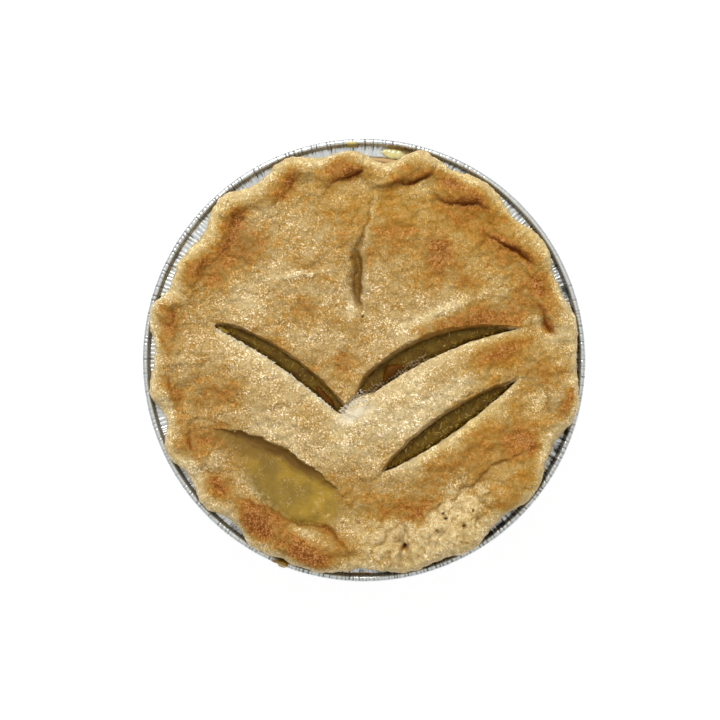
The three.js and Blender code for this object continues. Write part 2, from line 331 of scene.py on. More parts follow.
foil_finish, foil_shader, place = new_finish("pressed_foil", {"Specular IOR Level": 0.3})
rolled = place.node("Mapping", {}, {"Vector": place, "Scale": (0.25, 1.0, 1.0)})
brushed = rolled.grain(0.25, 3)
dented = place.grain(2.2, 2)
grimy = (place.painted("grime") * 1.4 + place.grain(1.2, 3) - 0.5).step(0.35, 0.9)
# The foil is painted dark and made less metallic in its folds, as painted shade and reflection.
bright_foil = place.painted("creased").tint(foil_colour, fold_shade_colour)
connect(
    foil_shader,
    {
        "Base Color": grimy.tint(bright_foil, foil_grime),
        "Roughness": 0.24 + brushed * 0.12 + grimy * 0.25,
        "Metallic": 1 - place.painted("creased") * 0.7,
        "Normal": brushed.bumped(0.01, dented.bumped(0.12)),
    },
)
tin_parts = turned_solid(skin, (0, 0, panel_rise), (0, 0, panel_rise + foil))
tin = new_piece("foil_pie_tin", *tin_parts, foil_finish)


def along_across(x, y, centre, heading):
    """Where places lie from a centre, along a heading in degrees and to the left of it."""
    heading = np.radians(heading)
    east, north = x - centre[0], y - centre[1]
    along = east * np.cos(heading) + north * np.sin(heading)
    return along, north * np.cos(heading) - east * np.sin(heading)


def hump(x, y, centre, size, heading):
    """1 at the centre, fading out over half a length along the heading and half a width."""
    along, across = along_across(x, y, centre, heading)
    return np.exp(-((along / size[0]) ** 2) - (across / size[1]) ** 2)


def humps(x, y, spots):
    """Humps added up. Each spot is a centre, half sizes, a heading and an amount."""
    return sum(amount * hump(x, y, *spot) for *spot, amount in spots)


# Where filling boiled over and baked on to the flange and the bead.
tin_places = points_of(tin)
boiled_over = [
    ((-1.5, -60.5), (3.6, 0.13), 0, 1),
    ((-24, -58), (3, 2), 20, 1),
    ((10, 59.5), (5, 2), -10, 1),
]
grime = humps(tin_places[:, 0], tin_places[:, 1], boiled_over)
paint(tin, "grime", grime * (tin_places[:, 2] > wall_top[1]))
# The painted shade and reflection of the folds, ring by ring.
paint(tin, "creased", np.concatenate((*creased, (0, 0))))
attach(tin, "root")
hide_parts("foil_tin")

# Bottom crust
# A pastry case rolled out thin and laid in the tin. It comes out over the flange, where its
# edge shows under the lid wherever the crimped roll has drawn back.
gap = 0.35
case_inset = 1.1
case_wall = 2.6
case_foot = 0.65
case_floor_top = 3.1
case_tuck = 1.3
seat = 28.55

# The pinches round the rolled edge, anticlockwise from +X: where each is, in degrees, how far
# its lobe reaches, how far the edge reaches in the dip after it, and how deep the pinch is.
pinches = np.array(
    [
        (11, 61.7, 59.2, 2.4),
        (33, 61.4, 59.2, 2.8),
        (55, 61.5, 60.0, 2.4),
        (74, 61.9, 56.4, 2.6),
        (94, 59.7, 59.2, 2.8),
        (111, 61.7, 58.8, 2.4),
        (132, 61.9, 58.2, 2.4),
        (152, 59.7, 59.2, 1.2),
        (167, 62.8, 59.7, 1.8),
        (188, 61.6, 58.7, 1.8),
        (205, 62.4, 60.0, 2.2),
        (222, 62.0, 59.3, 2.0),
        (240, 62.3, 61.4, 1.4),
        (256, 62.0, 59.8, 1.2),
        (283, 61.9, 61.0, 2.0),
        (299, 62.4, 59.7, 1.4),
        (322, 61.9, 59.2, 1.2),
        (347, 62.9, 60.6, 1.8),
    ]
)
pinch_at, pinch_reach, pinch_dip = pinches.T[:3]


def pinches_round(angle):
    """The pinch before an angle, the one after it, and the share of the way between."""
    degrees = np.degrees(angle) % 360
    after = np.searchsorted(pinch_at, degrees, side="right") % len(pinch_at)
    before = after - 1
    span = (pinch_at[after] - pinch_at[before]) % 360
    return before, after, ((degrees - pinch_at[before]) % 360) / span


def edge_radius(angle):
    """How far the rolled edge of the lid reaches from the axis."""
    before, after, share = pinches_round(angle)
    reach = np.where(share < 0.5, pinch_reach[before], pinch_reach[after])
    return reach + (pinch_dip[before] - reach) * (0.5 - 0.5 * np.cos(2 * np.pi * share))


turn = np.linspace(0, 2 * np.pi, 480, endpoint=False)
ragged = rough(on_ring(turn, 60, 0), 5.0, 4)
case_edge = np.clip(edge_radius(turn) - case_tuck + 0.5 * ragged, flange_inside, 60.7)
lip_inside = flange_inside - case_inset
lip_foot, lip_top = flange_height + foil + 0.5, seat - gap
case_finish, case_shader, place = new_finish("bottom_pastry", {"Specular IOR Level": 0.35})
speck = place.grain(0.5, 3, 0.7)
case_tone = place.grain(5, 3) * 0.8 + speck * 0.5 - 0.3
connect(
    case_shader,
    {
        "Base Color": case_tone.tint((0.62, 0.43, 0.19, 1), (0.40, 0.21, 0.06, 1)),
        "Roughness": 0.5 + speck * 0.2,
        "Normal": speck.bumped(0.12),
    },
)
outside = [(wall_radius(z, case_inset), z) for z in (2.0, 7.0, 12.0, 17.0, 21.0, wall_top[1])]
inner_heights = (wall_top[1], 19.0, 12.0, case_floor_top + 2)
inside = [(wall_radius(z, case_inset + case_wall), z) for z in inner_heights]
profile = [
    (panel_radius + gap, panel_rise + case_foot),
    (panel_radius + panel_slope + gap, case_foot),
    (outside[0][0] - 1, case_foot),
    *outside,
    (lip_inside, lip_foot),
    (case_edge - 0.4, lip_foot + 0.05),
    (case_edge - 0.1, lip_foot + 0.25 + 0.1 * ragged),
    (case_edge, (lip_foot + lip_top) / 2 + 0.15 * ragged),
    (case_edge - 0.15, lip_top - 0.25 + 0.1 * ragged),
    (case_edge - 0.5, lip_top),
    (lip_inside, lip_top),
    *inside,
    (inside[-1][0] - 2, case_floor_top),
]
dough = [on_ring(turn, radius, height) for radius, height in profile]
case_parts = turned_solid(dough, (0, 0, panel_rise + case_foot), (0, 0, case_floor_top))
case = new_piece("bottom_crust_case", *case_parts, case_finish)
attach(case, "root")
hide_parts("bottom_crust")

# Filling
# Crushed pineapple in thickened syrup, poured in level and pushed up under the lid as it
# boiled. Its glossy top shows in the cuts, as shreds of fruit lying every way in the gel.
crown = 1.9
lid_radius = 49.0
filling_cells = 220
filling_bulge = 1.3

# The cuts that let the steam out. Each follows a bend from end to end, and opens widest nearer
# its far end where swell is over 1; the less full is, the blunter its ends are. Its left lip is
# lifted, its right lip has sunk and is bevelled, fruit is how many shreds show in a square
# millimetre, and up to its torn share a cut is only a crevice.
cuts = [
    {"from": (-42.6, 10.5), "bend": (-23.9, 4.2), "to": (-5.2, -15.2), "width": 5.0, "swell": 1.1,
     "lift": 0.4, "sink": 0.7, "bevel": 0.4, "full": 0.24, "fruit": 1.0, "torn": -1.0},
    {"from": (-6.6, -14.4), "bend": (16.3, 8.9), "to": (44.2, 9.3), "width": 6.6, "swell": 0.8,
     "lift": 0.9, "sink": 0.8, "bevel": 0.8, "full": 0.65, "fruit": 1.0, "torn": 0.08},
    {"from": (5.0, -31.7), "bend": (24.3, -17.0), "to": (44.2, -4.8), "width": 6.5, "swell": 0.9,
     "lift": 0.7, "sink": 0.3, "bevel": 0.6, "full": 0.7, "fruit": 2.4, "torn": -1.0},
]
cut_tip = 0.4
crevice_share = 0.12
cut_steps = 64
cut_layers = 9

# Swells and hollows of the lid: centre, half sizes, heading of the length, and height.
swells = [
    ((-27, -12), (20, 6), -38, 1.5),
    ((21, -8), (22, 5.5), 30, 1.6),
    ((26, -28), (20, 6.5), 31, 1.1),
    ((14, 4), (20, 3.5), 33, 0.7),
    ((-23, -38), (15, 7.5), -28, -1.5),
    ((4, 26), (3, 14), 8, -0.6),
]


def relief(x, y, up):
    """The swells of the lid, or with up false its hollows."""
    return humps(x, y, [spot for spot in swells if (spot[-1] > 0) == up])


def lid_underside(x, y):
    """Flat on the case's lip, and crowned over the filling."""
    share = np.clip(np.hypot(x, y) / lid_radius, 0, 1)
    return seat + crown * (1 - share**2) + relief(x, y, False) * (1 - share**4)


def disc_of_squares(cells):
    """A disc of radius 1 from a square grid: its points, faces, and rim anticlockwise."""
    side = np.linspace(-1, 1, cells + 1)
    a, b = (grid.ravel() for grid in np.meshgrid(side, side, indexing="ij"))
    wide = np.abs(a) > np.abs(b)
    radius = np.where(wide, a, b)
    safe = np.where(radius == 0, 1, radius)
    angle = np.where(wide, b / safe * np.pi / 4, np.pi / 2 - a / safe * np.pi / 4)
    points = np.stack((radius * np.cos(angle), radius * np.sin(angle)), 1)
    index = np.arange((cells + 1) ** 2).reshape(cells + 1, cells + 1)
    corners = (index[:-1, :-1], index[1:, :-1], index[1:, 1:], index[:-1, 1:])
    faces = np.stack([corner.ravel() for corner in corners], 1)
    sides = (index[-1, :-1], index[:0:-1, -1], index[0, :0:-1], index[:-1, 0])
    return points, faces.tolist(), np.concatenate(sides)


def capped_solid(top, top_faces, rim, rings, low):
    """A solid under a disc: rings of points from the disc's rim down to its lowest point."""
    count = len(rim)
    points = np.concatenate([top, *rings, [low]])
    indices = [rim] + [len(top) + k * count + np.arange(count) for k in range(len(rings))]
    faces = list(top_faces)
    for upper, lower in zip(indices, indices[1:]):
        corners = (upper, lower, np.roll(lower, -1), np.roll(upper, -1))
        faces += np.stack(corners, 1).tolist()
    last = indices[-1]
    ends = (last, np.full(count, len(points) - 1), np.roll(last, -1))
    return points, faces + np.stack(ends, 1).tolist()


def near_path(x, y, path):
    """How far places are from a path, more than 0 on its left, and the share along it."""
    nearest, side, share = np.full(x.shape, np.inf), np.ones(x.shape), np.zeros(x.shape)
    lengths = np.hypot(*np.diff(path, axis=0).T)
    run = np.concatenate(([0], np.cumsum(lengths)))
    for (ax, ay), (bx, by), start, length in zip(path, path[1:], run, lengths):
        dx, dy = (bx - ax) / length, (by - ay) / length
        along = np.clip((x - ax) * dx + (y - ay) * dy, 0, length)
        off_x, off_y = x - ax - along * dx, y - ay - along * dy
        distance = np.hypot(off_x, off_y)
        closer = distance < nearest
        nearest[closer] = distance[closer]
        side[closer] = np.where(dx * off_y - dy * off_x < 0, -1, 1)[closer]
        share[closer] = (start + along[closer]) / run[-1]
    return nearest * side, share


def cut_route(cut):
    """The points down the middle of a cut, with the ways along it and to its left."""
    share = np.linspace(0, 1, cut_steps + 1)[:, None]
    start, bend, end = (np.array(cut[key], float) for key in ("from", "bend", "to"))
    path = start * (1 - share) ** 2 + 2 * bend * share * (1 - share) + end * share**2
    forward = np.gradient(path, axis=0)
    left = np.stack((-forward[:, 1], forward[:, 0]), 1) / np.hypot(*forward.T)[:, None]
    return path, forward, left


def cut_half(cut, share):
    """Half the width of a cut at shares of the way along it."""
    open_share = np.sin(np.pi * share ** cut["swell"]) ** cut["full"]
    open_share = open_share * np.clip((share - cut["torn"]) / 0.09, crevice_share, 1)
    return (cut_tip + (cut["width"] - cut_tip) * open_share) / 2


def beside_cut(x, y, cut):
    """How far places are outside a cut's edges, which side they are on, and its open share."""
    distance, share = near_path(x, y, cut_route(cut)[0])
    opening = np.sqrt(np.sin(np.pi * np.clip(share, 0.02, 0.98)))
    return np.abs(distance) - cut_half(cut, share), distance > 0, opening


def filling_top(x, y):
    """Lumpy under the lid, and bulging up where a cut lets it."""
    lowered = 0.5 - 0.4 * rough(np.stack((x, y, 0 * x), 1), 4.0)
    height = lid_underside(x, y) - gap - np.clip(lowered, 0.05, 2)
    height -= 1.6 * np.clip(np.hypot(x, y) / 50, 0, 1) ** 8
    for cut in cuts:
        beyond, left, opening = beside_cut(x, y, cut)
        height += filling_bulge * np.clip(-beyond / 1.2, 0, 1) * np.clip(2 * opening, 0, 1)
    return height


disc, disc_faces, disc_rim = disc_of_squares(filling_cells)
filling_inset = case_inset + case_wall + gap
filling_floor = case_floor_top + gap
x, y = (disc * (wall_radius(wall_top[1], filling_inset) - 0.7)).T
top = np.stack((x, y, filling_top(x, y)), 1)
filling_rim = np.arctan2(disc[disc_rim, 1], disc[disc_rim, 0])
filling_side = [(wall_radius(z, filling_inset), z) for z in (wall_top[1], 18.0, 11.0, filling_floor + 2)]
filling_side.append((filling_side[-1][0] - 2, filling_floor))
filling_rings = [on_ring(filling_rim, radius, height) for radius, height in filling_side]
filling_finish, filling_shader, place = new_finish(
    "pineapple_in_syrup",
    {"Coat Roughness": 0.15, "Coat Weight": 0.06, "Specular IOR Level": 0.2, "Subsurface Weight": 0.1,
     "Subsurface Radius": (0.003, 0.0018, 0.0006)},
)
murk = place.grain(3.0, 4, 0.65)
fibre = place.grain(0.5, 4, 0.7, 1.5)
syrup = murk.step(0.3, 0.7).tint((0.10, 0.045, 0.001, 1), (0.17, 0.10, 0.006, 1))
connect(
    filling_shader,
    {
        "Base Color": (fibre.step(0.52, 0.7) * 0.5).tint(syrup, (0.33, 0.22, 0.05, 1)),
        "Roughness": 0.2 + fibre * 0.25,
        "Normal": fibre.bumped(0.4),
    },
)
filling_parts = capped_solid(top, disc_faces, disc_rim, filling_rings, (0, 0, filling_floor))
filling = new_piece("pineapple_filling_top", *filling_parts, filling_finish)
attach(filling, "root")
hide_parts("pineapple_filling")

# Shreds of fruit
# Crushing leaves short wet fibres of pineapple, every one bent its own way. They lie thickly
# on the filling wherever a cut shows it, with three larger bits among them.
shred_stations = 7
shred_sides = 6
shred_flatness = 0.75

# The larger bits: centre, heading, length, thickness and paleness.
large_bits = [
    ((8.0, -3.4), 38, 7.5, 3.4, 0.0),
    ((-11.2, -10.4), -48, 7.5, 2.4, 0.0),
    ((-40.3, 8.6), -28, 4.6, 2.4, 0.75),
]


def shred_solid(middle, heading, long, thick):
    """A bent fibre, fat in the middle and thin at its ends."""
    share = np.linspace(-0.97, 0.97, shred_stations)
    across = draw.uniform(-0.5, 0.5) * (share**2 - 0.4) * long / 2
    heading = np.radians(heading)
    forward = np.array((np.cos(heading), np.sin(heading), 0))
    sideways = np.array((-np.sin(heading), np.cos(heading), 0))
    centre = middle + share[:, None] * forward * long / 2 + across[:, None] * sideways
    centre[:, 2] += share * draw.uniform(-0.25, 0.25)
    radius = thick / 2 * np.sqrt(1 - share**2) * draw.uniform(0.75, 1.15, shred_stations)
    around = np.linspace(0, 2 * np.pi, shred_sides, endpoint=False)[:, None]
    section = np.cos(around) * sideways + np.sin(around) * np.array((0, 0, shred_flatness))
    rings = [place + size * section for place, size in zip(centre, radius)]
    tip = forward * thick / 20
    return turned_solid(rings, centre[0] - tip, centre[-1] + tip)


def joined(solids):
    """One mesh of many loose solids."""
    points, faces, start = [], [], 0
    for solid_points, solid_faces in solids:
        points.append(solid_points)
        faces += [[corner + start for corner in face] for face in solid_faces]
        start += len(solid_points)
    return np.concatenate(points), faces


draw = np.random.default_rng(11)
shreds, shred_tones = [], []
for (east, north), heading, long, thick, tone in large_bits:
    lift = filling_top(np.array([east]), np.array([north]))[0] + 0.2 * thick - 0.3
    shreds.append(shred_solid(np.array((east, north, lift)), heading, long, thick))
    shred_tones.append(tone)
for cut in cuts:
    route, _, left = cut_route(cut)
    area = 0.7 * cut["width"] * np.hypot(*(route[-1] - route[0]))
    share = draw.uniform(0.02, 0.98, int(area * cut["fruit"]))
    at = (share * cut_steps).astype(int)
    aside = cut_half(cut, share) * draw.uniform(-0.95, 0.95, len(at))
    spots = route[at] + left[at] * aside[:, None]
    heights = filling_top(*spots.T) + draw.uniform(-0.2, 0.1, len(at))
    for (east, north), height in zip(spots, heights):
        middle = np.array((east, north, height))
        long, thick = draw.uniform(0.6, 2.2), draw.uniform(0.2, 0.5)
        shreds.append(shred_solid(middle, draw.uniform(0, 360), long, thick))
        shred_tones.append(draw.uniform(0.1, 0.9))
shred_finish, shred_shader, place = new_finish(
    "pineapple_shred",
    {"Coat Roughness": 0.12, "Coat Weight": 0.04, "Roughness": 0.3, "Specular IOR Level": 0.08,
     "Subsurface Weight": 0.1, "Subsurface Radius": (0.002, 0.0013, 0.0004)},
)
fibre = place.grain(0.3, 3, 0.6)
# Paler shreds stand partly for painted glints on the wet fruit.
flesh = (place.painted("tone") + fibre * 0.4 - 0.2).ramp(
    (0.0, (0.095, 0.030, 0.0005, 1)),
    (0.35, (0.18, 0.09, 0.003, 1)),
    (0.75, (0.26, 0.17, 0.02, 1)),
    (1.0, (0.40, 0.31, 0.12, 1)),
)
connect(shred_shader, {"Base Color": flesh, "Normal": fibre.bumped(0.1)})
fruit = new_piece("pineapple_shreds", *joined(shreds), shred_finish)
paint(fruit, "tone", np.repeat(shred_tones, shred_stations * shred_sides + 2))
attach(fruit, "root")

# Lid crust
# A sheet of shortcrust laid over the filling, its edge rolled under and pinched with thumb and
# finger against the flange, then slashed with a knife. The oven browned whatever stood high.
lid_thickness = 2.2
lid_cells = 268
rim_crowding = 0.25
roll_width = 11.3
roll_spread = 2.8
roll_broadest = np.radians(310)
roll_crest = 4.6
roll_height = 2.1
roll_dip = 1.5
edge_height = 1.2
roll_square = 0.8
crease_skew = np.radians(1.4)
deepest_pinch = 2.8
lid_highest = seat + 6.3
sheet_radius = 57
clump_size = 5.0

# Each pinch pushes up a strand of the roll, like a rope's: from beside the pinch's own angle at
# the edge, inwards and anticlockwise to where it runs out on the sheet.
strand_lead = -5
strand_trail = 13
strand_edge = 3.4
strand_end_radius = 51.0
strand_overrun = 3.5
strand_half_width = 3.6
strand_height = 0.7

# Where the rolled edge folds over the lid, as points of angle in degrees and radius, with how
# far the fold stands over the lid, how deep the pit is that starts the groove under it, and how
# dark its pit is painted, partly as burn and partly as painted shade.
folds = [
    ([(8.6, 54.7), (12, 53.6), (17.5, 52.0)], 0.4, 1.5, 0.8),
    ([(30.5, 55.6), (34, 54.2), (38, 52.6), (42.5, 51.2), (46, 49.6)], 0.8, 2.0, 1.0),
    ([(53, 55.2), (57, 53.0), (62, 51.0), (66, 49.6)], 0.5, 1.7, 0.9),
    ([(70.5, 56.2), (74, 53.6), (78, 51.6), (84, 49.8)], 0.9, 1.8, 1.0),
    ([(90, 53.8), (94, 52.9), (97.5, 52.2), (101, 50.6)], 0.5, 1.8, 1.0),
    ([(110, 55.4), (113, 53.4), (117, 52.0)], 0.15, 0.4, 0.3),
    ([(129.6, 54.8), (132, 52.4), (137, 51.2), (143.5, 50.8)], 0.1, 0.25, 0.3),
    ([(148, 53.8), (154, 53.0)], 0.3, 0.5, 0.3),
    ([(165.5, 56.4), (169.5, 55.4)], 0.4, 1.0, 0.5),
    ([(185, 56.2), (189.5, 54.8)], 0.3, 1.0, 0.5),
    ([(204.5, 54.5), (208.5, 55.1)], 0.4, 1.3, 0.6),
    ([(221.0, 55.6), (225, 55.0)], 0.4, 1.1, 0.5),
    ([(228, 52.6), (235, 50.9), (241, 50.3), (248, 50.0)], 0.9, 0.9, 0.4),
    ([(246, 50.2), (252, 49.4), (258, 49.5), (263, 52.2), (266, 55.6)], 1.5, 1.3, 0.8),
    ([(281.5, 55.0), (284.5, 54.4)], 0.4, 1.3, 0.6),
    ([(334, 55.4), (331, 53.6), (328, 51.2), (325, 48.9), (320, 47.8), (314, 46.7), (308, 46.5),
      (302, 46.8), (296, 46.6), (291, 47.6), (286, 49.4)], 1.3, 0.35, 0.1),
    ([(345.5, 54.2), (350, 52.8)], 0.4, 0.8, 0.4),
]
pit_width = 0.4
groove_width = 1.0
fold_reach = 4.0

# Thumb prints and dents in the roll: angle, radius, half length along the edge, half width, how far
# the length leans outwards going clockwise, in degrees, how deep, and how brown.
hollows = [
    (17, 57.5, 3.8, 1.6, 20, 0.4, 0.15),
    (44.5, 57.0, 3.8, 1.2, 20, 0.5, 0.30),
    (64, 56.0, 2.6, 2.0, 10, 0.7, 0.5),
    (80, 54.5, 5.5, 1.8, 22, 0.2, 0.15),
    (97, 57.3, 4.0, 1.6, 15, 0.3, 0.25),
    (115.5, 55.5, 4.8, 3.2, 30, 1.4, 0.22),
    (134.0, 55.4, 4.2, 3.8, 0, 1.9, 0.25),
    (139, 51.8, 4.2, 1.3, 0, 0.2, 0.22),
    (151.5, 56.0, 3.5, 3.0, 0, 0.4, 0.12),
    (169, 57.5, 4.5, 2.0, 0, 0.5, 0.10),
    (177, 59.0, 3.0, 1.5, 0, 0.0, 0.15),
    (186, 57.2, 2.8, 1.6, -10, 0.6, 0.05),
    (207, 57.2, 2.4, 2.0, 0, 0.6, 0.05),
    (222.5, 57.0, 2.6, 1.8, 0, 0.5, 0.05),
    (236, 57.0, 4.5, 2.6, 0, 0.2, 0.30),
    (240.5, 56.3, 2.0, 1.4, 0, 0.2, 0.35),
    (253, 59.2, 5.5, 1.6, 0, 0.4, 0.45),
    (11, 53.5, 2.6, 1.4, 10, 0.4, 0.30),
    (191, 54.5, 3.2, 1.8, -10, 0.6, 0.35),
    (220, 54.0, 3.0, 2.2, 0, 0.6, 0.30),
    (284, 54.6, 2.0, 1.4, 0, 0.5, 0.10),
    (332.5, 53.6, 2.6, 1.5, 40, 0.5, 0.30),
    (348, 59.3, 4.5, 2.0, 0, 0.0, 0.50),
]

# Lobes of the roll that lie over the sheet with a crisp edge: centre, half sizes, heading, height.
lobes = [
    ((-13.9, -53.6), (10.5, 5.2), -16, 1.5),
    ((-28.5, -46.5), (9.5, 4.6), -48, 1.2),
    ((24.5, -47.5), (15.5, 7.5), 36, 1.6),
    ((6.0, -52.0), (7.5, 5.0), -5, 1.0),
    ((42.0, -33.5), (10.5, 6.5), 50, 1.4),
    ((51.0, -7.0), (8.0, 5.0), 85, 0.8),
    ((-50.5, -1.0), (7.0, 4.5), 70, 0.7),
]

# Smaller puffs and sinks of the rolled edge: centre, half sizes, heading, height.
puffs = [
    ((-48.0, -4.0), (6, 6), 0, 0.5),
    ((-47.0, -26.0), (4.5, 5), -60, 0.5),
    ((-31.5, -45.0), (5, 3.5), -38, 0.6),
    ((-50.0, -13.5), (8, 2.2), 10, -0.6),
    ((-52.0, 8.5), (9, 2.0), -8, -0.6),
    ((11.4, -53.4), (1.7, 5.5), -10, -2.3),
    ((46.0, 1.0), (3, 6), 10, 0.4),
]

# Bubbles that burst as the lid baked: place and half width.
burst = [
    ((22.5, -43.8), 0.35),
    ((23.3, -45.2), 0.35),
    ((21.0, -48.7), 0.35),
    ((28.5, -47.2), 0.60),
    ((27.6, -51.6), 0.35),
    ((15.6, -55.9), 0.35),
    ((11.4, -53.3), 0.55),
    ((31.0, -42.6), 0.30),
    ((-0.3, 12.4), 0.35),
]

# The lobes that puffed up into clumps, and where the filling has smoothed the crust it covers.
puffed_lobes = [((25, -47.5), (13, 8), 32, 1), ((7.5, -52), (7, 5), 0, 1)]
smoothed = ((-24.0, -33.5), (15, 7), -31)

# A fourth cut under the left strip, which the filling sealed as it boiled over: the sheet drops
# off its upper lip by a torn slope to a flap that has sunk and is covered with set syrup.
sealed = {"from": (-42.9, -19.2), "bend": (-23.2, -20.9), "to": (-7.4, -37.4), "width": 2.8, "swell": 1.5,
          "full": 0.65, "torn": -1.0}
sealed_drop = 2.1
sealed_reach = 8.5
sealed_lift = 0.5

# A fifth cut baked shut. It is a groove with a soft left side and a sharp right one.
shut_cut = [(3.0, 46.5), (0.9, 38.0), (-0.4, 33.0), (-0.9, 24.5), (-1.0, 17.3), (-0.6, 11.2)]
shut_depth = 2.3
shut_width = 1.8

# Thin ridges and creases in the sheet: from, to, height and half width.
seams = [
    ((-6.0, -15.8), (-5.2, -24.0), -0.6, 1.0),
    ((-46.0, 19.9), (-33.7, 21.0), 0.3, 1.0),
    ((-27.0, 23.4), (-8.4, 25.2), 0.75, 0.8),
    ((8.5, 24.5), (17.6, 28.4), 0.5, 1.1),
    ((13.5, 9.8), (32.5, 18.4), 0.8, 1.5),
    ((4.0, 3.5), (9.5, 13.0), 0.5, 1.2),
    ((-55.0, -1.5), (-42.0, 4.0), 0.5, 1.6),
]


def ragged_edge(angle):
    """The rolled edge of the lid, uneven as a torn and pinched edge is."""
    circle = on_ring(angle, 60, 0)
    return edge_radius(angle) + 0.4 * rough(circle, 3.5, 3, 4.0) + 0.15 * rough(circle, 1.2, 2, 9.0)


def roll_share(angle, inset):
    """The share of the roll's height, full at the crest and nothing on the sheet."""
    width = roll_width + roll_spread * np.cos(angle - roll_broadest)
    fall = np.clip((inset - roll_crest) / (width - roll_crest), 0, 1)
    return 1 - fall**2 * (3 - 2 * fall)


def roll_top(angle, inset):
    """The height of the roll: full over a pinch, less in the crease between two."""
    share = pinches_round(angle - crease_skew * (inset - roll_crest))[2]
    return roll_dip + (roll_height - roll_dip) * np.cos(np.pi * share) ** 2


def strand_relief(x, y):
    """The strands that the pinches push up, the highest one wherever two meet."""
    highest = np.zeros(x.shape)
    for at, reach, _, deep in pinches:
        ends = np.radians((at + strand_lead, at + strand_trail))
        radii = np.array((reach - strand_edge, strand_end_radius))
        xs, ys = radii * np.cos(ends), radii * np.sin(ends)
        heading = np.degrees(np.arctan2(ys[1] - ys[0], xs[1] - xs[0]))
        half = np.hypot(xs[1] - xs[0], ys[1] - ys[0]) / 2 + strand_overrun
        along, across = along_across(x, y, (xs.mean(), ys.mean()), heading)
        inside = np.clip(1 - (along / half) ** 2 - (across / strand_half_width) ** 2, 0, 1)
        highest = np.maximum(highest, strand_height * deep / deepest_pinch * inside**1.1)
    return highest


def fold_path(corners, steps=14):
    """A smooth path through corners given as angle and radius."""
    at = np.linspace(0, len(corners) - 1, steps)
    angle, radius = (np.interp(at, range(len(corners)), values) for values in zip(*corners))
    return np.stack((radius * np.cos(np.radians(angle)), radius * np.sin(np.radians(angle))), 1)


def pit_share(share):
    """How deep a fold's groove is along it: deepest near its start, and running out."""
    share = np.clip(share, 0.02, 0.99)
    return 2.39 * share**0.4 * (1 - share) ** 1.1


def past(distance, soft):
    """0 before a line and 1 past it, changing over a softness in mm."""
    return 1 / (1 + np.exp(np.clip(-distance / soft, -50, 50)))


def beside_sealed(x, y):
    """How far places lie below the sealed cut's upper lip, its slope's width, and its share."""
    distance, share = near_path(x, y, cut_route(sealed)[0])
    open_share = np.sin(np.pi * np.clip(share, 0.01, 0.99)) ** 0.6
    return -distance, 2 * cut_half(sealed, np.clip(share, 0, 1)), open_share


def sealed_relief(x, y):
    """The raised lip, the torn slope below it and the sunken flap."""
    below, slope, open_share = beside_sealed(x, y)
    fall = 0.4 * past(below, 0.12) + 0.6 * np.clip(below / slope, 0, 1)
    drop = sealed_drop * fall * bell(np.clip(below, 0, None) / sealed_reach)
    edge = 0.35 * bell((below - slope - 0.3) / 0.3)
    lip = sealed_lift * bell(below / 3.0) * (below < 0)
    return (lip + edge - drop) * open_share


def shut_open(share):
    """How open the shut cut still is: a thin crease first, then open, and closed at its end."""
    return np.clip((share - 0.3) / 0.2, 0, 1) * np.clip((0.93 - share) / 0.12, 0, 1)


def shut_relief(x, y):
    """The groove of the shut cut, and the low ridge along its sharp side."""
    distance, share = near_path(x, y, shut_cut)
    depth = shut_depth * (0.3 + 0.7 * shut_open(share)) * np.clip((1 - share) / 0.12, 0, 1)
    west = past(-distance, 0.16)
    wide = 0.4 + shut_width * shut_open(share)
    groove = -depth * west * bell((distance + 0.6 * wide) / wide)
    return groove + 0.2 * (1 - west) * bell(distance) * np.clip(share * 2, 0, 1)


def hollow_places():
    """Each hollow's depth and brownness, and its place as centre, half sizes and heading."""
    for at, radius, long, wide, lean, deep, browned in hollows:
        turned = np.radians(at)
        centre = (radius * np.cos(turned), radius * np.sin(turned))
        yield deep, browned, (centre, (long, wide), at + 90 + lean)


def hole_share(x, y, centre, half):
    """0 in the middle of a round hole, and 1 at half its width."""
    return ((x - centre[0]) ** 2 + (y - centre[1]) ** 2) / half**2


def lid_top(x, y, inset):
    """The height of the lid's upper side, from the crest of the roll inwards."""
    angle = np.arctan2(y, x)
    roll = roll_share(angle, inset)
    height = lid_underside(x, y) + lid_thickness + relief(x, y, True) * (1 - roll)
    height += roll_top(angle, inset) * roll + strand_relief(x, y)
    height += humps(x, y, puffs)
    height += sealed_relief(x, y) + shut_relief(x, y)
    for centre, size, heading, tall in lobes:
        along, across = along_across(x, y, centre, heading)
        height += tall * np.sqrt(np.clip(1 - (along / size[0]) ** 2 - (across / size[1]) ** 2, 0, 1))
    for deep, browned, place in hollow_places():
        height -= deep * hump(x, y, *place)
    for corners, over, pit, burn_and_shade in folds:
        distance, share = near_path(x, y, fold_path(corners))
        outside, deep = -distance, pit_share(share)
        beyond = np.clip(outside, 0, None)
        cliff = past(outside, 0.2) * np.exp(-beyond / fold_reach)
        ends = np.sin(np.pi * np.clip(share, 0.03, 0.97)) ** 0.5
        height += over * ends * cliff * bell(beyond / 6)
        height -= pit * deep * 0.6 * bell((outside + 0.2) / pit_width)
        height -= pit * (0.25 * deep + 0.12) * bell((outside + 0.6) / groove_width)
    for cut in cuts:
        beyond, left, opening = beside_cut(x, y, cut)
        lifted = cut["lift"] * bell(beyond / 3.2) - 0.4 * bell(beyond / 0.5)
        sunk = -cut["sink"] * bell(beyond / 3.6)
        sunk -= cut["bevel"] * bell(np.clip(beyond, 0, None) / 1.4)
        height += np.where(left, lifted, sunk) * opening
    for start, end, tall, wide in seams:
        distance, share = near_path(x, y, (start, end))
        height += tall * bell(distance / wide) * np.sin(np.pi * np.clip(share, 0.05, 0.95))
    for hole, half in burst:
        height -= 1.3 * bell(hole_share(x, y, hole, half))
    return height


def wandered(flat):
    """Places moved a little each their own way, so that no fold or strand is too even."""
    x = flat[:, 0] + 1.1 * rough(flat, 5.5, 3, 1.0)
    y = flat[:, 1] + 1.1 * rough(flat, 5.5, 3, 6.0)
    return x, y


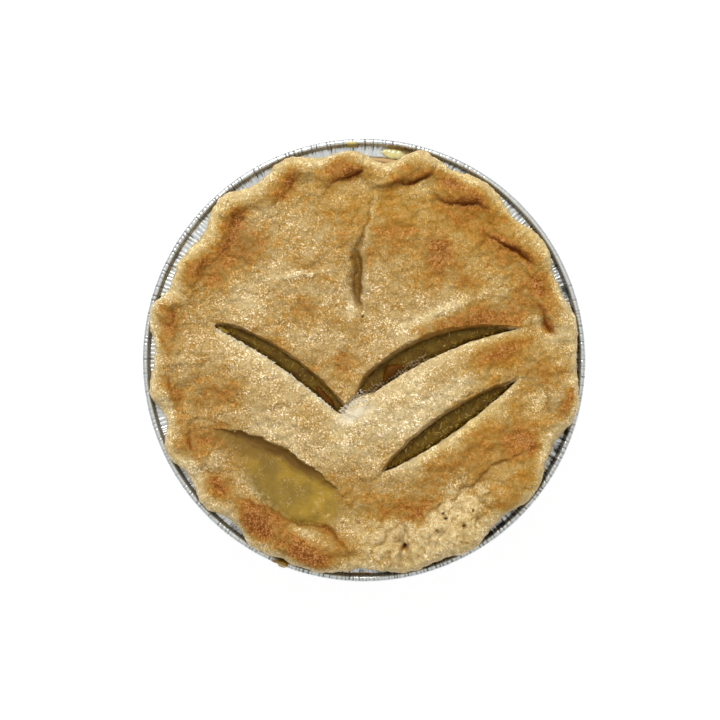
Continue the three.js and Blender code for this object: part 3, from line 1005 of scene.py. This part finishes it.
def blisters(flat, size):
    """Low round bubbles all over, each fading out towards the next."""
    near = np.array([noise.voronoi(Vector(p))[0][0] for p in flat / size])
    return bell(near / 0.36)


def cracks(flat):
    """Thin lines between the clumps of the lobes that puffed up most, 1 along their middles."""
    nearest = [noise.voronoi(Vector(p))[0] for p in (flat + 3) / clump_size]
    apart = np.array([second - first for first, second, *_ in nearest])
    return bell(apart / 0.2)


def puffed_share(x, y):
    """The near side of the roll, where the dough puffed up into clumps."""
    return np.clip(humps(x, y, puffed_lobes), 0, 1)


disc, disc_faces, disc_rim = disc_of_squares(lid_cells)
spread = np.hypot(*disc.T)
angle = np.arctan2(disc[:, 1], disc[:, 0])
spread = spread + rim_crowding * spread * (1 - spread)
edge = ragged_edge(angle)
radius = spread * (sheet_radius + (edge - roll_crest - sheet_radius) * spread**6)
x, y = radius * np.cos(angle), radius * np.sin(angle)
flat = np.stack((x, y, 0 * x), 1)
on_roll = roll_share(angle, edge - radius)
blistered = np.clip(rough(flat, 11.0, 3, 3.0) + 0.35 + 0.4 * on_roll, 0, 1)
puffed = puffed_share(x, y)
blistered += 0.8 * puffed
lumps = (0.4 + 0.25 * on_roll) * rough(flat, 7.0, 3) + 0.45 * rough(flat, 2.8, 2, 5.0)
lumps -= (0.2 + 0.4 * on_roll) * np.sqrt(rough(flat, 6.0, 3, 8.0) ** 2 + 0.03) - 0.15
lumps += 0.34 * blistered * blisters(flat, 3.2) + 0.24 * blistered * blisters(flat, 1.7)
lumps += puffed * (1.9 * blisters(flat + 3, clump_size) - 0.45 * cracks(flat))
lumps *= 1 - 0.75 * np.clip(1.6 * hump(x, y, *smoothed), 0, 1)
height = lid_top(*wandered(flat), edge - radius) + lumps
soft_top = lid_highest - 0.5
height = np.where(height > soft_top, soft_top + 0.4 * (height - lid_highest + 0.5), height)
top = np.stack((x, y, height), 1)

rim_angle, crest, edge = angle[disc_rim], height[disc_rim], edge[disc_rim]
outermost, tuck_in = seat + edge_height, 2.2
lid_rings = []
for degrees in np.linspace(0, 155, 20)[1:]:
    out, up = np.sin(np.radians(degrees)), np.cos(np.radians(degrees))
    if up > 0:
        across, height = roll_crest * (1 - out**roll_square), (crest - outermost) * up**roll_square
        ring = on_ring(rim_angle, edge - across, outermost + height)
    else:
        ring = on_ring(rim_angle, edge - tuck_in * (1 - out), outermost + edge_height * up)
    lump = 0.35 * rough(ring, 4.5, 3, 2.0) + 0.16 * rough(ring, 1.6, 3, 7.0)
    lump *= out * np.clip(up + 1, 0, 1)
    ring[:, :2] *= (1 + lump / edge)[:, None]
    ring[:, 2] += 0.5 * lump * max(up, 0)
    lid_rings.append(ring)
for inner in (56.0, lid_radius, 36.0, 24.0, 12.0):
    bottom = on_ring(rim_angle, inner, 0)
    bottom[:, 2] = lid_underside(bottom[:, 0], bottom[:, 1])
    lid_rings.append(bottom)

# Places browned by the oven, more than 0, or left pale, less than 0: some pale places are paler dough,
# and many on ridges, rim crests and lips are painted highlight. Each is centre, half sizes, heading,
# amount.
toasting_and_highlights = [
    ((-36.2, 41.4), (2.6, 1.3), 70, 0.35),
    ((-21.2, 52.0), (2.6, 1.2), 60, 0.35),
    ((-41.5, 25.0), (6, 4.5), 70, 0.3),
    ((-53.8, 9.5), (4, 4), 70, 0.25),
    ((-58.2, 3.7), (4, 2), 90, 0.2),
    ((-10.5, 36.6), (12, 8), 0, 0.08),
    ((-8.0, 53.8), (5, 3), 10, 0.3),
    ((7.5, 35.0), (9, 6), 10, 0.3),
    ((21.8, 31.0), (4.6, 3.6), -40, 0.62),
    ((-27.5, -7.5), (8, 4), -30, 0.14),
    ((-4.0, -44.5), (7, 4), 0, -0.14),
    ((42.0, -41.0), (6, 4), 40, -0.15),
    ((-41.5, -41.0), (5, 4), -45, -0.12),
    ((-34.5, 34.0), (6, 5), 45, 0.35),
    ((27.6, 49.5), (6, 3), -25, 0.3),
    ((50.5, 21.5), (5, 5), 60, 0.3),
    ((26.5, 24.0), (7, 3), -20, 0.3),
    ((35.0, 11.8), (10, 3), 5, 0.35),
    ((26.0, 42.0), (8, 4), -25, 0.35),
    ((37.5, 31.5), (7, 5), -45, 0.35),
    ((42.5, 16.5), (6, 5), 60, 0.2),
    ((15.6, 59.6), (3.0, 1.2), -15, 0.25),
    ((38.9, 2.3), (8, 3), 20, 0.45),
    ((24.0, 10.5), (8, 2.5), 15, 0.2),
    ((48.0, -5.0), (4, 4), 0, 0.2),
    ((43.0, -22.5), (6, 5), 40, 0.35),
    ((28.0, -27.5), (14, 5), 35, 0.3),
    ((-46.5, -10.0), (6, 4), -20, 0.15),
    ((-44.0, -21.5), (7, 4), -10, 0.4),
    ((-42.9, -35.0), (4, 3), -45, 0.2),
    ((-31.4, -46.0), (6, 3.5), -35, 0.45),
    ((-25.0, -46.5), (6, 3), -35, 0.25),
    ((-17.0, -55.0), (8, 4), -15, 0.45),
    ((-15.5, -57.0), (5, 2.2), -10, 0.35),
    ((-31.0, -47.5), (3, 4), -40, 0.35),
    ((-17.0, -48.8), (5, 1.8), -15, -0.35),
    ((4.0, -42.0), (14, 4), 0, 0.2),
    ((14.5, -44.5), (6, 3), 20, 0.35),
    ((41.0, -40.0), (8, 5), 45, 0.35),
    ((-15.8, 15.6), (3, 3), 0, 0.3),
    ((-13.0, 22.0), (7, 5), 0, 0.1),
    ((-6.3, -0.6), (2.5, 4), 0, 0.3),
    ((-0.6, -19.3), (4, 3), 0, 0.1),
    ((-29.0, -6.0), (20, 4.5), -38, -0.15),
    ((-24.5, -19.5), (10, 5), -30, -0.3),
    ((-5.0, -22.0), (8, 6), 0, -0.3),
    ((4.6, -18.0), (6, 3), 20, -0.1),
    ((-37.0, -10.0), (7, 4), -30, 0.15),
    ((8.5, -9.5), (12, 2.5), 35, -0.55),
    ((13.0, -17.5), (10, 4.5), 33, -0.4),
    ((27.0, -8.5), (8, 4), 30, -0.35),
    ((24.5, -47.0), (12, 6.5), 38, -0.6),
    ((8.0, -52.0), (8, 5), 0, -0.35),
    ((17.0, -54.5), (5, 3), 0, -0.35),
    ((-3.5, -58.5), (4, 2.5), 0, -0.3),
    ((52.0, -25.5), (3, 5), -20, -0.3),
    ((49.5, -12.0), (4, 4), 0, -0.3),
    ((55.5, 6.0), (4, 5), 0, -0.35),
    ((16.7, 49.8), (4, 2), 0, -0.2),
    ((0.0, 56.5), (4, 2), 0, -0.25),
    ((-18.0, 56.0), (5, 2.5), 20, -0.3),
    ((-37.5, 46.0), (4, 3), 45, -0.35),
    ((-45.5, 38.5), (4, 3.5), 50, -0.35),
    ((-57.0, -13.5), (2.5, 5), 0, -0.35),
    ((-50.0, -31.5), (3, 4), 40, -0.35),
    ((-42.5, -41.5), (4, 3.5), -45, -0.25),
    ((22.0, 14.0), (12, 1.5), 24, -0.45),
    ((-18.0, 24.4), (9, 0.9), 5, -0.45),
    ((-4.2, 14.4), (1.2, 3.5), 0, -0.4),
    ((8.0, 9.0), (6, 5), 30, -0.15),
    ((-34.8, 16.0), (9, 4), 0, -0.2),
    ((-5.0, -14.5), (2, 1.5), 0, -0.6),
]

# Places where butter or syrup soaked in and turned the pastry yellow and a little clear.
soaked = [
    ((30, 34), (26, 16), -20, 0.7),
    ((0, 45), (30, 10), 0, 0.5),
    ((34, -20), (20, 9), 32, 0.7),
    ((40, 2), (12, 6), 20, 0.8),
    ((45, -35), (12, 10), 40, 0.6),
    ((-20, -50), (20, 8), -20, 0.5),
    ((0, -42), (20, 6), 0, 0.4),
    ((-45, 32), (12, 12), 0, 0.3),
    ((21.8, 31.0), (6, 4.5), -40, -0.8),
    ((-30.0, -46.0), (7, 4.5), -40, -0.7),
    ((-16.0, -54.0), (8, 4.5), -15, -0.7),
]

# Places where filling that boiled over set on the lid as a gel, and others painted dark with murk:
# the first is greyish gel, the second painted shade.
gelled = [
    ((-22.8, -35.5), (15, 7.5), -31, 1.15),
    ((-17, -42), (8, 5), -20, 0.6),
    ((1, -43), (9, 3), 0, 0.35),
]
murk_and_shade_places = [((-34.0, -25.5), (7, 4), -35, 0.7), ((-33.5, 33.0), (5, 4), 45, 0.4)]

lid_finish, lid_shader, place = new_finish(
    "baked_pastry",
    {"Coat Roughness": 0.2, "Specular IOR Level": 0.25, "Specular Tint": (1, 0.82, 0.5, 1),
     "Subsurface Weight": 0.08, "Subsurface Radius": (0.0016, 0.001, 0.0004)},
)
speck = place.grain(0.46, 1.5, 0.6)
pebble = place.grain(0.95, 2, 0.6, 0.3)
grain = place.grain(1.7, 3, 0.6)
swelling = place.grain(2.2, 0.0, 0.4)
curl = place.grain(1.2, 0, 0.5, 0.8) - 0.5
blotch = place.grain(3.4, 4, 0.6)
cloud = place.grain(9.0, 4, 0.6)
gel = (place.painted("gelled") + grain * 0.5 - 0.25).step(0.3, 0.8)
butter = (place.painted("soaked") * 0.7 + blotch * 0.6 + cloud * 0.7 - 0.45).step(0.0, 1.0)
tone = (
    0.33
    + place.painted("toasted") * (0.7 + blotch * 0.6)
    + (cloud - 0.5) * 0.8
    + (blotch - 0.5) * 0.6
    + (grain - 0.5) * 0.45
)
floury_pastry = tone.ramp(
    (0.0, (0.66, 0.52, 0.26, 1)),
    (0.25, (0.50, 0.345, 0.125, 1)),
    (0.45, (0.41, 0.245, 0.062, 1)),
    (0.7, (0.36, 0.150, 0.022, 1)),
    (1.0, (0.25, 0.080, 0.007, 1)),
)
buttery_pastry = tone.ramp(
    (0.0, (0.68, 0.49, 0.165, 1)),
    (0.25, (0.50, 0.305, 0.060, 1)),
    (0.45, (0.43, 0.225, 0.028, 1)),
    (0.7, (0.38, 0.150, 0.013, 1)),
    (1.0, (0.25, 0.075, 0.003, 1)),
)
pastry = butter.tint(floury_pastry, buttery_pastry)
bubbly = place.painted("puffed")
speckled = (1 - butter * 0.5) * (0.35 + blotch.step(0.4, 0.6) * 0.65) * (1 - bubbly * 0.5)
pale = 1 - tone.step(0.25, 0.55)
browned = tone.step(0.5, 0.85)
# Speck tints: lighter specks are partly flour and partly painted glints, darker ones partly painted shade.
tints = [
    (speck.step(0.52, 0.66) * speckled * pale * 0.8, (0.92, 0.80, 0.55, 1), "MIX"),
    (speck.step(0.5, 0.64) * speckled, (1.40, 1.43, 1.70, 1), "MULTIPLY"),
    (pebble.step(0.5, 0.64) * speckled, (1.34, 1.38, 1.6, 1), "MULTIPLY"),
    (speck.step(0.48, 0.32) * speckled, (0.82, 0.76, 0.64, 1), "MULTIPLY"),
    (pebble.step(0.5, 0.36) * speckled, (0.84, 0.79, 0.68, 1), "MULTIPLY"),
    # Darker mottling, partly as painted shade of the soft lumps.
    (blotch.step(0.6, 0.4) * 0.6, (0.84, 0.80, 0.74, 1), "MULTIPLY"),
    (grain.step(0.6, 0.4) * 0.6, (0.84, 0.80, 0.74, 1), "MULTIPLY"),
    # Darker gaps between the puffed clumps, partly browner crust and partly painted shade.
    (bubbly * pebble.step(0.48, 0.34), (0.84, 0.64, 0.36, 1), "MULTIPLY"),
    # Pinkish and darker specks on browned places, partly painted glints and shade.
    (speck.step(0.52, 0.62) * browned * 0.5, (0.64, 0.32, 0.12, 1), "MIX"),
    (pebble.step(0.52, 0.64) * browned * 0.3, (0.64, 0.32, 0.12, 1), "MIX"),
    (speck.step(0.48, 0.36) * browned * 0.5, (0.72, 0.55, 0.42, 1), "MULTIPLY"),
    (place.painted("raw"), (0.78, 0.70, 0.50, 1), "MIX"),
    (place.painted("scorched"), (0.15, 0.035, 0.003, 1), "MIX"),
]
for amount, colour, how in tints:
    pastry = amount.tint(pastry, colour, how)
gel_tone = cloud.step(0.35, 0.65).tint((0.23, 0.145, 0.026, 1), (0.38, 0.23, 0.026, 1))
# Thin pale streaks on the gel, partly fibres and partly painted glints.
squiggle = (curl * curl).step(0.0012, 0.0001) * blotch.step(0.45, 0.6)
gel_tone = (squiggle * 0.4).tint(gel_tone, (0.66, 0.52, 0.24, 1))
swollen = (swelling * (1 - gel * 0.6)).bumped(0.75)
# Where murk is painted the crust turns dark olive, partly gel and syrup and partly painted shade.
crust_tone = place.painted("murky").tint(gel.tint(pastry, gel_tone), (0.19, 0.095, 0.016, 1))
connect(
    lid_shader,
    {
        "Base Color": crust_tone,
        "Roughness": 0.36 - gel * 0.06 - butter * 0.06 - speck.step(0.5, 0.66) * 0.08,
        "Coat Weight": gel * 0.12,
        "Normal": ((speck * 0.25 + pebble * 0.75) * (1 - gel * 0.9)).bumped(0.45, swollen),
    },
)
lid_parts = capped_solid(top, disc_faces, disc_rim, lid_rings, (0, 0, seat + crown))
lid = new_piece("lid_of_pastry", *lid_parts, lid_finish)
cut_slope = 0.4


def knife_solid(cut, shift):
    """The space that a cut opens: its sides are torn, and the far one slopes down into it."""
    path, _, across = cut_route(cut)
    half = cut_half(cut, np.linspace(0, 1, cut_steps + 1))[:, None]
    outline = np.concatenate((path - across * half, (path + across * half)[::-1]))
    push = np.concatenate((-across, across[::-1]))
    slope = np.repeat((0.0, cut_slope), len(path))[:, None]
    layers = []
    for height in np.linspace(seat - 3, seat + 9, cut_layers):
        places = np.column_stack((outline, np.full(len(outline), height)))
        tear = 0.28 * rough(places, 2.4, 3, shift) + 0.2 * rough(places, 0.7, 2, shift)
        places[:, :2] += push * (tear[:, None] + slope * (height - seat - lid_thickness - 2))
        layers.append(places)
    here = np.arange(len(outline))
    ends = [here[::-1].tolist(), (here + len(outline) * (cut_layers - 1)).tolist()]
    return np.concatenate(layers), ends + faces_between(cut_layers, len(outline))


for number, cut in enumerate(cuts):
    knife = new_piece("knife", *knife_solid(cut, 3.0 * number), lid_finish)
    slash = lid.modifiers.new("slash", "BOOLEAN")
    slash.solver = "MANIFOLD"
    slash.object = knife
    slashed = bpy.data.meshes.new_from_object(lid.evaluated_get(bpy.context.evaluated_depsgraph_get()))
    lid.modifiers.clear()
    lid.data = slashed
    bpy.data.objects.remove(knife)
lid.data.polygons.foreach_set("use_smooth", np.ones(len(lid.data.polygons), bool))
lid.data.set_sharp_from_angle(angle=np.radians(60))

places = points_of(lid)
x, y = wandered(places * (1, 1, 0))
angle, inset = np.arctan2(y, x), edge_radius(np.arctan2(y, x)) - np.hypot(x, y)
toasted = humps(x, y, toasting_and_highlights)
puffed = puffed_share(places[:, 0], places[:, 1])
toasted += puffed * (0.8 * cracks(places * (1, 1, 0)) - 0.65)
scorched, raw, murky = np.zeros(x.shape), np.zeros(x.shape), np.zeros(x.shape)
upright = np.empty(len(places) * 3)
lid.data.vertex_normals.foreach_get("vector", upright)
steep = np.clip((0.8 - upright.reshape(-1, 3)[:, 2]) / 0.3, 0, 1)
on_roll = roll_share(angle, inset)
# The roll is a little browner, and its outer edge is painted paler, as painted highlight where it faces the
# light.
toasted += 0.08 * on_roll - 0.6 * bell(inset / 2.4)
for deep, browned, place in hollow_places():
    toasted += browned * hump(x, y, *place)
# Each fold's pit is painted dark, partly burnt and partly as painted shade, with a browned halo.
for corners, over, pit, burn_and_shade in folds:
    distance, share = near_path(x, y, fold_path(corners))
    strength = burn_and_shade * pit_share(share)
    scorched += strength * bell((distance - 0.1) / 0.42)
    toasted += (0.3 * strength + 0.1) * bell((distance + 0.3) / 1.6)
gel_painted = humps(x, y, gelled)
below_top = lid_underside(x, y) + lid_thickness + 0.3 - places[:, 2]
for cut in cuts:
    beyond, left, opening = beside_cut(places[:, 0], places[:, 1], cut)
    # The right lips are painted paler, partly as pale torn dough and partly as painted highlight facing the
    # light.
    lip = bell(np.clip(beyond, 0, None) / np.where(left, 0.9, 1.5)) * opening
    toasted += np.where(left, 0.1, -0.6) * lip
    raw += 0.4 * ~left * steep * (beyond < 0.8)
    toasted += np.where(left, 0.0, -0.2) * bell(beyond / 3.0) * opening
    # The left lips' walls are painted dark deep down, as painted shade under the lifted lip.
    murky += left * (beyond < 0.6) * np.clip((below_top - 0.9) / 0.8, 0, 1)
below, slope, open_share = beside_sealed(x, y)
gel_painted += 1.3 * np.clip((below + 0.2) / 0.4, 0, 1) * bell(below / 5) * open_share
# A dark band is painted below the sealed cut's upper lip, partly darker gel and partly painted shade of the
# lip.
murky += 1.2 * np.clip((below + 0.1) / 0.3, 0, 1) * np.exp(-((below / (slope + 0.6)) ** 4)) * open_share
# The shut cut's groove is painted dark, partly as wet syrup and partly as painted shade.
distance, share = near_path(x, y, shut_cut)
wide = 0.4 + 0.85 * shut_width * shut_open(share)
groove = bell((distance + 0.6 * wide) / wide)
murky += 1.25 * groove * (0.2 + 0.8 * shut_open(share)) * (share < 0.99)
# A pale line along the groove's sharp side is painted highlight.
toasted -= 0.2 * bell((distance - 0.6) / 0.7) * np.clip((1 - share) / 0.1, 0, 1)
# The burst holes are painted dark, partly burnt and partly as painted shade in them.
for hole, half in burst:
    scorched += np.exp(-hole_share(places[:, 0], places[:, 1], hole, half))
raw += 1.1 * hump(x, y, (-2.8, -15.6), (4.6, 2.0), 25)
murky += humps(x, y, murk_and_shade_places)
lid_paints = {
    "toasted": toasted,
    "puffed": puffed,
    "soaked": 0.2 * on_roll + humps(x, y, soaked),
    "gelled": gel_painted,
    "murky": np.clip(murky, 0, 1),
    "scorched": np.clip(scorched, 0, 0.95),
    "raw": np.clip(raw, 0, 0.85),
}
for name, values in lid_paints.items():
    paint(lid, name, values)
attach(lid, "root")
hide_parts("lid_crust")

# Torn dough
# Where the long cuts pulled open the dough tore rather than parted, and left pale threads and
# bits along their near lips and at the point of the V. Each stretch has its cut, the shares of the
# cut that it runs between, how far aside in half widths, and how many threads of what size.
torn_places = [
    {"cut": cuts[1], "share": (0.08, 0.5), "side": (-1.0, -0.35), "count": 190, "size": 0.65, "tone": 0.25},
    {"cut": cuts[1], "share": (0.0, 0.14), "side": (-5.0, 0.5), "count": 130, "size": 0.9, "tone": 1.1},
    {"cut": cuts[0], "share": (0.03, 1.0), "side": (-1.2, -0.95), "count": 150, "size": 0.8, "tone": 1.0},
]


def landed(piece, east, north):
    """Where something dropped from above comes to lie on a piece, in mm, if it hits it."""
    hit, place, _, _ = piece.ray_cast(Vector((east, north, 60)) * MM, Vector((0, 0, -1)))
    return np.array(place) / MM if hit else None


draw = np.random.default_rng(5)
threads, thread_tones = [], []
for torn in torn_places:
    route, forward, left = cut_route(torn["cut"])
    for _ in range(torn["count"]):
        share = draw.uniform(*torn["share"])
        at = int(share * cut_steps)
        spot = route[at] + left[at] * cut_half(torn["cut"], share) * draw.uniform(*torn["side"])
        ground = landed(lid, *spot)
        if ground is None or ground[2] < seat + 0.5:
            ground = np.array((*spot, filling_top(spot[:1], spot[1:])[0] + draw.uniform(0.1, 0.7)))
        direction = np.degrees(np.arctan2(*forward[at][::-1])) + draw.uniform(-50, 50)
        long, thick = torn["size"] * draw.uniform((0.5, 0.25), (1.9, 0.65))
        threads.append(shred_solid(ground, direction, long, thick))
        thread_tones.append(torn["tone"] * draw.uniform(0.6, 1))
dough_finish, dough_shader, place = new_finish(
    "torn_dough",
    {"Roughness": 0.55, "Subsurface Weight": 0.1, "Subsurface Radius": (0.0015, 0.001, 0.0005)},
)
crumb_grain = place.grain(0.4, 3)
paleness = place.painted("tone") + crumb_grain * 0.6 - 0.3
connect(
    dough_shader,
    {
        "Base Color": paleness.step(0.0, 1.0).tint((0.24, 0.14, 0.045, 1), (0.80, 0.73, 0.55, 1)),
        "Normal": crumb_grain.bumped(0.3),
    },
)
torn_dough = new_piece("torn_dough", *joined(threads), dough_finish)
paint(torn_dough, "tone", np.repeat(thread_tones, shred_stations * shred_sides + 2))
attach(torn_dough, "root")

# Syrup on the tin
# Filling boiled out under the edge of the lid and set on the foil: a pale smear and a drop at
# the far side, an amber drip on the bead at the near left and a thin brown stain at the near side.
# The drops: centre, half sizes, heading, thickness and paleness.
drops = [
    ((8.6, 58.9), (3.4, 1.5), -8, 0.7, 0.9),
    ((6.5, 59.6), (1.6, 0.9), 10, 0.6, 0.9),
    ((-3.6, 61.7), (1.4, 0.95), 0, 0.8, 0.7),
    ((-23.4, -58.4), (1.8, 1.0), -22, 0.8, 0.25),
    ((-1.5, -61.2), (5.0, 0.32), 0, 0.2, 0.1),
]
drop_cells = 14


def drop_solid(centre, size, heading, thick):
    """A drop that has run out flat over the foil."""
    disc, disc_faces, disc_rim = disc_of_squares(drop_cells)
    turned = np.radians(heading)
    uneven = 1 + 0.15 * rough(np.column_stack((disc, 0 * disc[:, 0])), 0.8)
    along, across = (disc * size * uneven[:, None]).T
    x = centre[0] + along * np.cos(turned) - across * np.sin(turned)
    y = centre[1] + along * np.sin(turned) + across * np.cos(turned)
    grounds = [landed(tin, east, north) for east, north in zip(x, y)]
    ground = np.array([bead_height if spot is None else spot[2] for spot in grounds])
    height = ground - 0.05 + thick * np.sqrt(np.clip(1 - np.hypot(*disc.T) ** 2, 0, 1))
    top = np.stack((x, y, height), 1)
    low = (*centre, ground.min() - 0.25)
    return capped_solid(top, disc_faces, disc_rim, [top[disc_rim] - (0, 0, 0.15)], low)


syrup_finish, syrup_shader, place = new_finish(
    "syrup_on_foil",
    {"Roughness": 0.12, "Coat Weight": 0.5, "Coat Roughness": 0.05, "Subsurface Weight": 0.3,
     "Subsurface Radius": (0.002, 0.0015, 0.0006)},
)
amber = (place.painted("tone") + place.grain(1.0, 3) * 0.4 - 0.2).ramp(
    (0.0, (0.16, 0.075, 0.010, 1)),
    (0.3, (0.42, 0.24, 0.02, 1)),
    (0.7, (0.62, 0.52, 0.16, 1)),
    (1.0, (0.78, 0.72, 0.36, 1)),
)
connect(syrup_shader, {"Base Color": amber})
drop_solids = [drop_solid(*spot) for *spot, tone in drops]
spilled = new_piece("boiled_over_syrup", *joined(drop_solids), syrup_finish)
drop_points = len(spilled.data.vertices) // len(drops)
paint(spilled, "tone", np.repeat([tone for *spot, tone in drops], drop_points))
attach(spilled, "root")

# Crumbs
# Flakes broken from the edge, lying loose on the lid and on the foil beside it.
crumbs_on_lid = 46
crumbs_on_foil = 16


def crumb_solid(middle, size):
    """A flake as a lump with seven uneven sides."""
    rings = []
    for level in (-0.5, 0.1, 0.6):
        around = np.linspace(0, 2 * np.pi, 7, endpoint=False)
        wide = size * np.sqrt(1 - level**2) * draw.uniform(0.6, 1.2, 7)
        rings.append(middle + on_ring(around, wide, size * (level + 0.4)))
    return turned_solid(rings, middle - (0, 0, 0.4 * size), middle + (0, 0, 1.1 * size))


crumbs = []
while len(crumbs) < crumbs_on_lid + crumbs_on_foil:
    on_foil = len(crumbs) >= crumbs_on_lid
    turned = draw.uniform(0, 2 * np.pi)
    radius = draw.uniform(59, 61.8) if on_foil else draw.uniform(38, 60)
    spot = radius * np.cos(turned), radius * np.sin(turned)
    ground, cover = landed(tin if on_foil else lid, *spot), landed(lid, *spot)
    if ground is None or (on_foil and cover is not None):
        continue
    crumbs.append(crumb_solid(ground, draw.uniform(0.14, 0.4)))
crumb_finish, crumb_shader, place = new_finish("crumb", {"Roughness": 0.5})
baked = place.grain(2.0, 2).step(0.35, 0.65)
connect(crumb_shader, {"Base Color": baked.tint((0.56, 0.40, 0.17, 1), (0.36, 0.17, 0.035, 1))})
loose = new_piece("loose_crumbs", *joined(crumbs), crumb_finish)
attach(loose, "root")

# Table, light and camera
# The pie stands on a plain light table under a soft light from beyond it, and is seen from
# straight above.
floor_mesh = bpy.data.meshes.new("table")
table_half = 20
corners = [(-1, -1), (1, -1), (1, 1), (-1, 1)]
floor_mesh.from_pydata([(table_half * a, table_half * b, 0) for a, b in corners], [], [(0, 1, 2, 3)])
floor_look = {
    "Base Color": (0.35, 0.35, 0.35, 1),
    "Roughness": 0.9,
    "Emission Color": (1, 1, 1, 1),
    "Emission Strength": 0.79,
}
floor_mesh.materials.append(new_finish("white_table", floor_look)[0])
floor = placed("table", floor_mesh)

light_data = bpy.data.lights.new("softbox", "AREA")
light_data.shape = "RECTANGLE"
light_data.size, light_data.size_y = 0.5, 0.4
light_data.energy = 9.3
light = placed("softbox", light_data)
light.location = (-0.18, 0.74, 0.9)
light.rotation_euler = (Vector((0, 0, 0.03)) - light.location).to_track_quat("-Z", "Y").to_euler()

studio = bpy.data.worlds.new("studio")
studio.use_nodes = True
direction = Wire(studio.node_tree).node("TexCoord", output="Generated")
upward = direction.node("SeparateXYZ", {}, {"Vector": direction}, output="Z")
glow = upward.step(-0.1, 0.9).tint((0.22, 0.22, 0.23, 1), (0.72, 0.715, 0.70, 1))
connect(studio.node_tree.nodes["Background"], {"Color": glow})
bpy.context.scene.world = studio

image_pixels = 720
tin_pixels = 443.5
pixel_size = 2 * tin_radius * MM / tin_pixels
camera_shift = -4 * pixel_size
camera_height = 0.9
camera_data = bpy.data.cameras.new("camera")
camera_data.sensor_width = 36
camera_data.lens = 36 * camera_height / (image_pixels * pixel_size)
camera = placed("camera", camera_data)
camera.location = (camera_shift, 0, bead_height * MM + camera_height)
bpy.context.scene.camera = camera
bpy.context.scene.view_settings.view_transform = "Standard"
